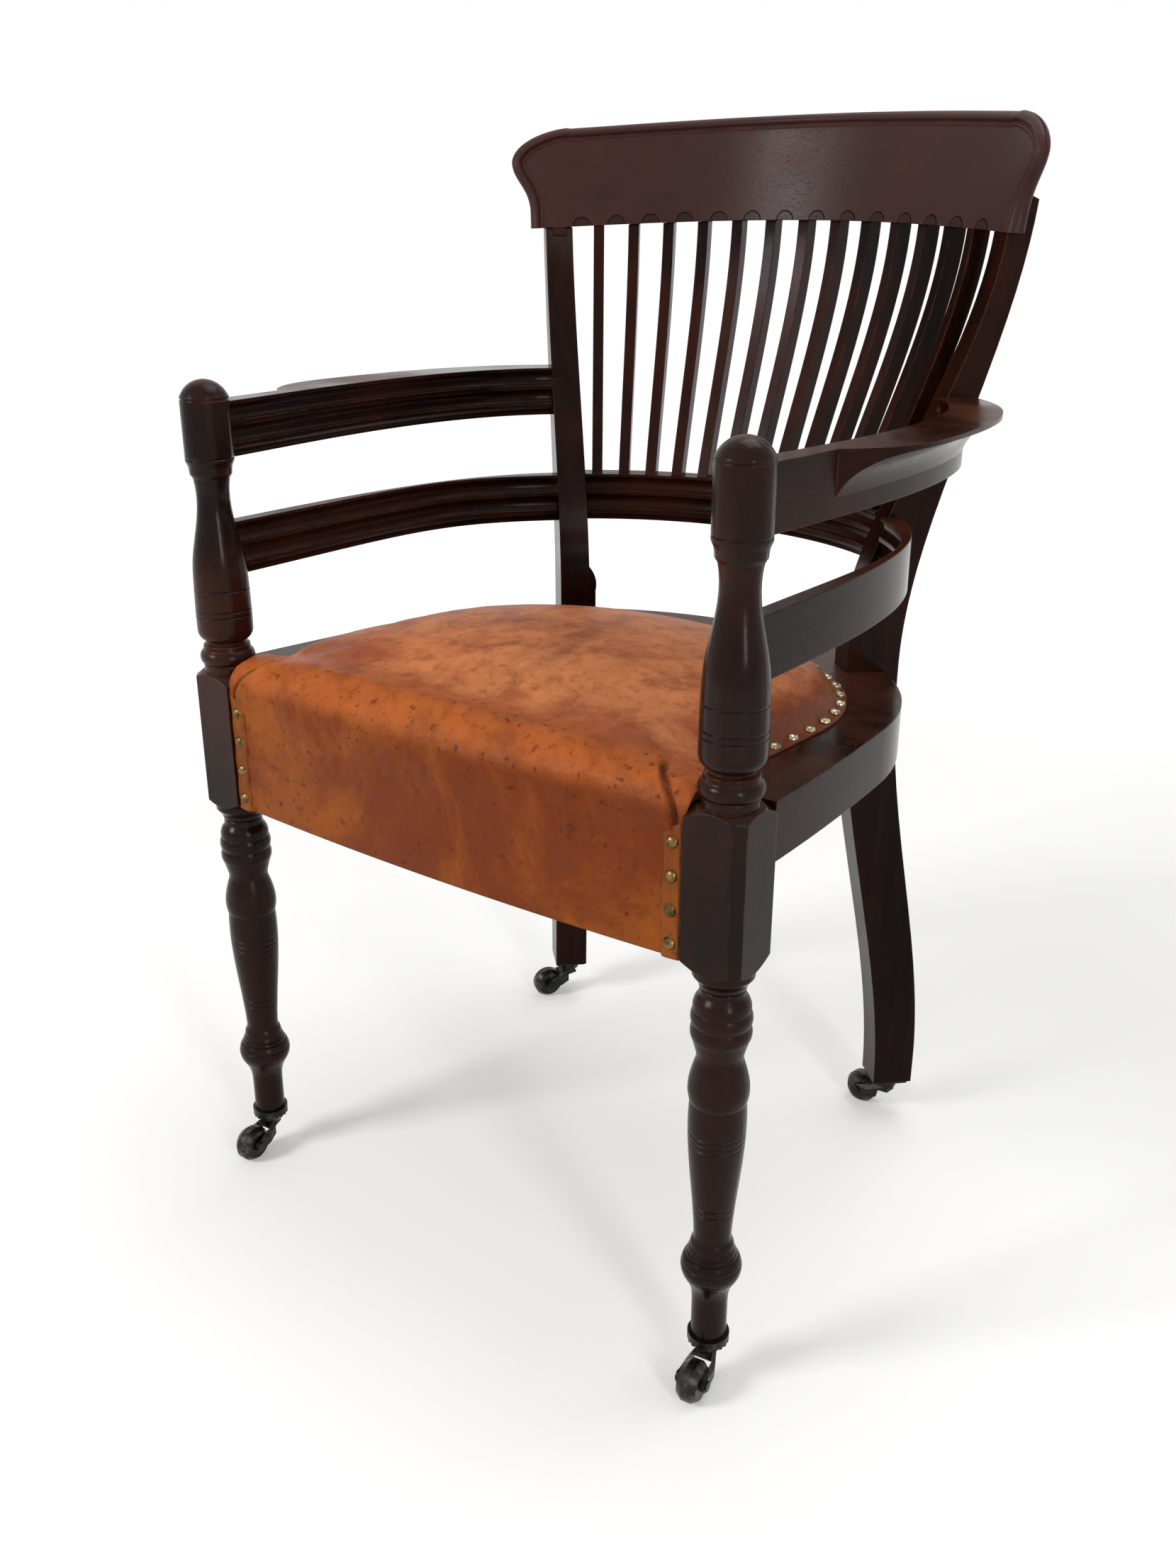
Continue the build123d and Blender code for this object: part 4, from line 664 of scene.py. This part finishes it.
def folded(piece, flat):
    """The corner folds, pressed in along the hide's own normals, with marks for the painted shade in its folds
    and for the darkening of its edge near the nailed band.
    """
    piece.data.update()
    normals = [v.normal.copy() for v in piece.data.vertices]
    marks = piece.data.attributes.new("fold", "FLOAT", "POINT")
    edge_darkening = piece.data.attributes.new("edge_darkening", "FLOAT", "POINT")
    for index, (normal, (x, v)) in enumerate(zip(normals, flat)):
        piece.data.vertices[index].co -= normal * pleat(x, v)
        travel = face_at(x) + ROLL_DEPTH - v
        # A mark that darkens the crown near its nailed edge.
        edge = 1 - smooth((edge_distance(x, v) - BAND) / EDGE_DARKENING_WIDTH)
        edge_darkening.data[index].value = edge * smooth(-travel / 0.05)
        # Marks where painted shade darkens each corner fold.
        if FOLD_START < travel < FOLD_END:
            depth = fold_depth(abs(x) - fold_line(travel))
            marks.data[index].value = depth * smooth((travel - FOLD_START) / FOLD_FADE)


def piece_of(name, bm):
    """A piece with the faces of a bmesh, which is used up."""
    mesh = bpy.data.meshes.new(name)
    bm.to_mesh(mesh)
    bm.free()
    piece = bpy.data.objects.new(name, mesh)
    bpy.context.scene.collection.objects.link(piece)
    return piece


def smooth_shaded(piece):
    piece.data.polygons.foreach_set("use_smooth", [True] * len(piece.data.polygons))


def dressed(piece, material, body="frame"):
    piece.data.materials.append(material)
    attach(piece, body)


hide, hide_flat = hide_mesh("seat_hide")
stretched(hide, CLOTH_CAP)
folded(hide, hide_flat)
finer = hide.modifiers.new("finer", "SUBSURF")
finer.levels = 1
finer.render_levels = 1
thick = hide.modifiers.new("thickness", "SOLIDIFY")
thick.thickness = HIDE_THICK
thick.offset = -1.0
smooth_shaded(hide)
dressed(hide, HIDE)
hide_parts("leather_cover", "seat_stuffing")


# Crest rail with its moulded border, which runs up the ends and along the top
CREST_TOP = 0.9125
CREST_TOP_ARCH = 2.48                   # radius of the upper edge, seen from the front
CREST_LEAN = 0.16                       # how far the face leans back for its height
CREST_THICK = (0.0245, 0.0202)          # at the lower edge and at the top
CREST_END = math.radians(46.0)          # from the middle to the line that the ears are drawn from
# The left ear's end as two curves: distance out from that line, and height
EAR_WAIST = ((0.008, 0.829), (0.008, 0.8523), (0.024, 0.8573), (0.024, 0.874))
EAR_TOP = ((0.024, 0.874), (0.022, 0.8908), (-0.0084, 0.903), (-0.030, 0.9043))
# The border's section: distance in from the edge, and depth behind the face
BORDER = (
    (0.0, 0.0060), (0.0005, 0.0041), (0.0012, 0.0028), (0.0021, 0.0016), (0.0032, 0.0007), (0.0043, 0.0003),
    (0.0054, 0.0004), (0.0064, 0.0010), (0.0072, 0.0019), (0.0079, 0.0030), (0.0085, 0.0030), (0.0090, 0.0016),
    (0.0098, 0.0012), (0.0106, 0.0016), (0.0114, 0.0022), (0.0126, 0.0020),
)
FIELD_DEPTH = 0.0020                    # of the flat field inside the border
BACK_ROUND = 0.006                      # radius of the rear edges
END_HOLLOW = 0.010                      # how much further back the face stands at the ends
HOLLOW_START = math.radians(26.0)
HOLLOW_TURN = math.radians(23.0)
CREST_STEP = 0.004                      # of the mesh along the edges
FIELD_STEP = 0.005                      # of the mesh inside the field
FIELD_ROWS = 20
FIELD_COLUMNS = 60                      # either side of the middle
FIELD_START = CREST_LOW - 0.012
FIELD_CLEAR = 0.003                     # least distance of the field's inner points from its edge


def crest_reach(z):
    """Distance of the crest's face from the back axis at a height."""
    return CREST_REACH + CREST_LEAN * (z - CREST_LOW)


def crest_low(u):
    """Height of the lower edge at a place along the crest, measured round the back axis."""
    x = crest_reach(CREST_LOW) * math.sin(u / CREST_REACH)
    return CREST_LOW - x * x / (2 * CREST_ARCH)


def bezier(points, t):
    a, b, c, d = (Vector(p) for p in points)
    s = 1 - t
    return a * s ** 3 + b * 3 * s * s * t + c * 3 * s * t * t + d * t ** 3


def crest_half_border():
    """The left half of the border, from the lower corner up the ear and along the top to the middle."""
    def unrolled(out, z):
        return Vector((CREST_REACH * (CREST_END + math.asin(out / crest_reach(z))), z))

    corner = unrolled(EAR_WAIST[0][0], CREST_LOW)
    foot = crest_low(corner.x)
    points = [Vector((corner.x, foot + (EAR_WAIST[0][1] - foot) * k / 4)) for k in range(4)]
    points += [unrolled(*bezier(EAR_WAIST, k / 12)) for k in range(12)]
    points += [unrolled(*bezier(EAR_TOP, k / 16)) for k in range(16)]
    start = unrolled(*EAR_TOP[-1])
    count = round(start.x / CREST_STEP)
    for k in range(count + 1):
        u = start.x * (1 - k / count)
        x = crest_reach(CREST_TOP) * math.sin(u / CREST_REACH)
        points.append(Vector((u, CREST_TOP - x * x / (2 * CREST_TOP_ARCH))))
    return points


def crest_border():
    """The whole border from the left lower corner round to the right one, with the way inward at each point."""
    left = crest_half_border()
    points = left + [Vector((-p.x, p.y)) for p in reversed(left[:-1])]
    inward = []
    for before, after in zip([points[0]] + points[:-1], points[1:] + [points[-1]]):
        run = (after - before).normalized()
        inward.append(Vector((-run.y, run.x)))
    inward[0] = Vector((-1.0, 0.0))
    inward[-1] = Vector((1.0, 0.0))
    return points, inward


def crest_hollow(u):
    """How far behind its full depth the face stands at a place along the crest."""
    return END_HOLLOW * smooth((abs(u) / CREST_REACH - HOLLOW_START) / HOLLOW_TURN)


def crest_spot(u, z, depth):
    """A point of the crest, given along it, by height and by depth behind its face."""
    reach = crest_reach(z) + depth
    angle = u / CREST_REACH
    return (reach * math.sin(angle), BACK_AXIS + reach * math.cos(angle), z)


def crest_piece(name):
    """The crest as two sheets, the moulded front and the rounded back, joined round their rims."""
    points, inward = crest_border()
    rings = [[p + way * away for p, way in zip(points, inward)] for away, _ in BORDER]
    for ring in rings:
        ring[0].y = crest_low(ring[0].x)
        ring[-1].y = crest_low(ring[-1].x)
    inner = rings[-1]
    count = round((inner[0].x - inner[-1].x) / CREST_STEP)
    lower = []
    for k in range(1, count):
        u = inner[-1].x + (inner[0].x - inner[-1].x) * k / count
        lower.append(Vector((u, crest_low(u))))
    loop = inner + lower
    outline = [tuple(p) for p in loop]
    spots = list(loop)
    for row in range(1, FIELD_ROWS):
        for column in range(-FIELD_COLUMNS, FIELD_COLUMNS + 1):
            spot = Vector(((column + 0.5 * (row % 2)) * FIELD_STEP, FIELD_START + row * FIELD_STEP))
            if inside(tuple(spot), outline) and min((spot - p).length for p in loop) > FIELD_CLEAR:
                spots.append(spot)
    edges = [(i, (i + 1) % len(loop)) for i in range(len(loop))]
    flat, _, faces, *_ = delaunay_2d_cdt(spots, edges, [], 1, 1e-7)

    bm = bmesh.new()
    sheets = []
    for front in (True, False):
        def put(p, away, depth):
            share = (p.y - CREST_LOW) / (CREST_TOP - CREST_LOW)
            thick = CREST_THICK[0] + (CREST_THICK[1] - CREST_THICK[0]) * share
            left = max(0.0, 1 - away / BACK_ROUND)
            round_off = BACK_ROUND * (1 - math.sqrt(1 - left * left))
            return bm.verts.new(crest_spot(p.x, p.y, depth + crest_hollow(p.x) if front else thick - round_off))

        field = [put(p, BORDER[-1][0], FIELD_DEPTH) for p in flat]
        grid = [[put(p, away, depth) for p in ring] for ring, (away, depth) in zip(rings[:-1], BORDER)]
        grid.append(field[:len(inner)])
        quads = []
        for outer_row, inner_row in zip(grid, grid[1:]):
            for k in range(len(points) - 1):
                quads.append((outer_row[k], outer_row[k + 1], inner_row[k + 1], inner_row[k]))
        quads += [tuple(field[i] for i in face) for face in faces]
        for quad in quads:
            bm.faces.new(quad)
        rim = grid[0] + [row[-1] for row in grid[1:]]
        rim += field[len(inner):len(loop)] + [row[0] for row in reversed(grid[1:])]
        sheets.append(rim)
    ahead, behind = sheets
    for k in range(len(ahead)):
        follow = (k + 1) % len(ahead)
        bm.faces.new((ahead[k], behind[k], behind[follow], ahead[follow]))
    bmesh.ops.recalc_face_normals(bm, faces=bm.faces)
    piece = piece_of(name, bm)
    smooth_shaded(piece)
    piece.data.set_sharp_from_angle(angle=math.radians(50))
    dressed(piece, CARVED)
    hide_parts("crest_rail")


crest_piece("crest_moulded")


# Domed nails in the places of the plain ones
def nail_places(node):
    """The middle of each nail head of a CAD node."""
    bm = bmesh.new()
    bm.from_mesh(nodes[node].data)
    bmesh.ops.remove_doubles(bm, verts=bm.verts, dist=1e-5)
    left = set(bm.verts)
    places = []
    while left:
        island = {left.pop()}
        fresh = set(island)
        while fresh:
            fresh = {e.other_vert(v) for v in fresh for e in v.link_edges} - island
            island |= fresh
        left -= island
        low = Vector([min(v.co[k] for v in island) for k in range(3)])
        high = Vector([max(v.co[k] for v in island) for k in range(3)])
        places.append((low + high) / 2)
    bm.free()
    return sorted(places, key=lambda p: tuple(round(c, 4) for c in p))


# A head's section: shares of its radius and of its height
NAIL_SECTION = ((1.0, -0.25), (1.0, 0.0), (0.97, 0.16), (0.88, 0.42), (0.72, 0.68), (0.50, 0.87), (0.26, 0.97))
NAIL_SIDES = 20
NAIL_LEAN = 0.06


def nails(name, node, material, radius, height, axis, sink, highest=1.0):
    """Hand-made nail heads: shallow domes, each a little off round and off true."""
    bm = bmesh.new()
    places = [place for place in nail_places(node) if place.z < highest]
    for index, place in enumerate(places):
        lean = Vector((math.sin(7.1 * index), math.cos(4.3 * index), math.sin(2.9 * index))) * NAIL_LEAN
        up = (axis + lean).normalized()
        turn = up.to_track_quat("Z", "Y")
        foot = place - axis * sink
        rings = []
        for share, level in NAIL_SECTION:
            ring = []
            for k in range(NAIL_SIDES):
                a = 2 * math.pi * k / NAIL_SIDES
                off_round = 0.03 * math.sin(2 * a + index) + 0.02 * math.sin(3 * a + 2.0 * index)
                wide = radius * share * (1 + off_round)
                spot = Vector((wide * math.cos(a), wide * math.sin(a), height * level))
                ring.append(bm.verts.new(foot + turn @ spot))
            rings.append(ring)
        tip = bm.verts.new(foot + turn @ Vector((0, 0, height)))
        for k in range(NAIL_SIDES):
            follow = (k + 1) % NAIL_SIDES
            for low_ring, high_ring in zip(rings, rings[1:]):
                bm.faces.new((low_ring[k], low_ring[follow], high_ring[follow], high_ring[k]))
            bm.faces.new((rings[-1][k], rings[-1][follow], tip))
    piece = piece_of(name, bm)
    smooth_shaded(piece)
    dressed(piece, material)
    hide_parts(node)


STRIP_TOP = 0.462                       # of the leather strips that the apron's nails hold
SEAT_UP = Vector((0.0, SEAT_FALL, 1.0)).normalized()
# The edge nails take the brighter brass as a painted highlight, and the apron nails take the darker brass, partly
# as painted shade.
nails("edge_nail_heads", "edge_nails", LIT_BRASS, 0.0048, 0.0032, SEAT_UP, 0.0)
nails("apron_nail_heads", "apron_nails", BRASS, 0.0050, 0.0034, Vector((0, -1, 0)), 0.0002, STRIP_TOP)


# Leather strips under the nails at the ends of the apron
STRIP_INNER = 0.2062
STRIP_OUTER = 0.2213
STRIP_FOOT = APRON_LOW - 0.001
STRIP_SLANT = 0.008                     # how much lower the inner corner of its top is
STRIP_PROUD = 0.0017
STRIP_THICK = 0.0012
STRIP_COLUMNS = 8
STRIP_ROWS = 40


def apron_strip(name, side):
    bm = bmesh.new()
    grid = []
    for j in range(STRIP_ROWS + 1):
        t = j / STRIP_ROWS
        wave = 0.0006 * math.sin(9 * t + 1.3 * side) + 0.0003 * math.sin(31 * t)
        row = []
        for i in range(STRIP_COLUMNS + 1):
            s = i / STRIP_COLUMNS
            x = STRIP_INNER + wave * (1 - s) + (STRIP_OUTER - STRIP_INNER) * s
            top = STRIP_TOP - STRIP_SLANT * (1 - s)
            z = STRIP_FOOT + (top - STRIP_FOOT) * t
            proud = STRIP_PROUD * min(1.0, 4 * s) ** 0.5 + 0.0003 * math.sin(23 * t + 4 * s)
            row.append(bm.verts.new((side * x, face_at(x) - proud, z)))
        grid.append(row)
    for low_row, high_row in zip(grid, grid[1:]):
        for i in range(STRIP_COLUMNS):
            corners = (low_row[i], low_row[i + 1], high_row[i + 1], high_row[i])
            bm.faces.new(corners if side > 0 else corners[::-1])
    strip = piece_of(name, bm)
    solid = strip.modifiers.new("thickness", "SOLIDIFY")
    solid.thickness = STRIP_THICK
    solid.offset = -1.0
    smooth_shaded(strip)
    dressed(strip, STRIP)


apron_strip("apron_strip_left", 1)
apron_strip("apron_strip_right", -1)


# Beaded lower edge of the front caster cups
BEADS = 20
BEAD_RADIUS = 0.0019
BEAD_STRETCH = 1.25
BEAD_CIRCLE = 0.0142
BEAD_LEVEL = 0.0375


def bead_ring(name, x, y):
    bm = bmesh.new()
    for i in range(BEADS):
        a = 2 * math.pi * i / BEADS
        bead = bmesh.ops.create_icosphere(bm, subdivisions=2, radius=BEAD_RADIUS)
        centre = Vector((x + BEAD_CIRCLE * math.cos(a), y + BEAD_CIRCLE * math.sin(a), BEAD_LEVEL))
        for vertex in bead["verts"]:
            vertex.co.z *= BEAD_STRETCH
            vertex.co += centre
    ring = piece_of(name, bm)
    smooth_shaded(ring)
    dressed(ring, CASTER_IRON)


bead_ring("cup_beads_left", POST_X, POST_LINE)
bead_ring("cup_beads_right", -POST_X, POST_LINE)


# Floor, light and camera
FLOOR_REACH = 60.0
FLOOR_LIFT = (0.20, 0.64)               # glow under the chair and far from it
WORLD_LIGHT = 0.42                      # on the chair
WORLD_SEEN = 1.0                        # behind it and in what it reflects


def floor_material():
    """Pale floor that keeps the chair's shadow and runs out into the white behind it."""
    shader = Shader("floor_pale")
    mottle = shader.noise(shader.point, 3.0, 3.0)
    matt = shader.node("BsdfDiffuse", {"Color": shader.mix(mottle, colour("#f2f1ef"), colour("#f6f6f5"))})
    path = shader.node("LightPath").outputs
    seen = shader.math("MAXIMUM", path["Is Camera Ray"], path["Is Glossy Ray"])
    seen = shader.math("MAXIMUM", seen, path["Is Transmission Ray"])
    away = shader.node("VectorMath", {0: shader.point}, operation="LENGTH").outputs["Value"]
    lift = shader.fade(away, 0.5, 3.0, *FLOOR_LIFT)
    glow = shader.node("Emission", {"Color": (1, 1, 1, 1), "Strength": shader.math("MULTIPLY", seen, lift)})
    both = shader.node("AddShader", {0: matt.outputs[0], 1: glow.outputs[0]})
    shader.tree.links.new(both.outputs[0], shader.output.inputs["Surface"])
    return shader.material


floor_mesh = bpy.data.meshes.new("floor")
corners = [(x * FLOOR_REACH, y * FLOOR_REACH, 0) for x, y in ((-1, -1), (1, -1), (1, 1), (-1, 1))]
floor_mesh.from_pydata(corners, [], [(0, 1, 2, 3)])
floor = bpy.data.objects.new("floor", floor_mesh)
floor.data.materials.append(floor_material())
bpy.context.scene.collection.objects.link(floor)

world = bpy.data.worlds.new("studio")
world.use_nodes = True
bpy.context.scene.world = world
tree = world.node_tree
path = tree.nodes.new("ShaderNodeLightPath")
seen = path.outputs["Is Camera Ray"]
for ray in ("Is Glossy Ray", "Is Transmission Ray"):
    either = tree.nodes.new("ShaderNodeMath")
    either.operation = "MAXIMUM"
    tree.links.new(seen, either.inputs[0])
    tree.links.new(path.outputs[ray], either.inputs[1])
    seen = either.outputs[0]
level = tree.nodes.new("ShaderNodeMapRange")
level.inputs["To Min"].default_value = WORLD_LIGHT
level.inputs["To Max"].default_value = WORLD_SEEN
tree.links.new(seen, level.inputs["Value"])
sky = tree.nodes["Background"]
sky.inputs["Color"].default_value = (1, 1, 1, 1)
tree.links.new(level.outputs[0], sky.inputs["Strength"])


def softbox(name, place, target, size, power):
    """A rectangular area light that faces a target."""
    lamp = bpy.data.lights.new(name, "AREA")
    lamp.shape = "RECTANGLE"
    lamp.size, lamp.size_y = size
    lamp.energy = power
    light = bpy.data.objects.new(name, lamp)
    light.location = place
    light.rotation_euler = (Vector(target) - Vector(place)).to_track_quat("-Z", "Y").to_euler()
    bpy.context.scene.collection.objects.link(light)


softbox("key", (-1.3, -2.5, 1.9), (0, 0, 0.5), (0.9, 0.9), 50)
softbox("strip", (2.2, -1.3, 1.2), (0, 0, 0.5), (0.35, 1.0), 16)
softbox("top", (0.2, 0.6, 2.8), (0, 0, 0.4), (1.5, 1.5), 22)

camera = bpy.data.objects.new("camera", bpy.data.cameras.new("camera"))
camera.data.lens = 32.79
camera.data.sensor_width = 36.0
camera.location = (0.6809, POST_LINE - 0.7384, 0.828)
camera.rotation_euler = [math.radians(a) for a in (68.27, -0.16, 36.80)]
bpy.context.scene.collection.objects.link(camera)
bpy.context.scene.camera = camera
bpy.context.scene.view_settings.view_transform = "Standard"

bpy.context.view_layer.update()
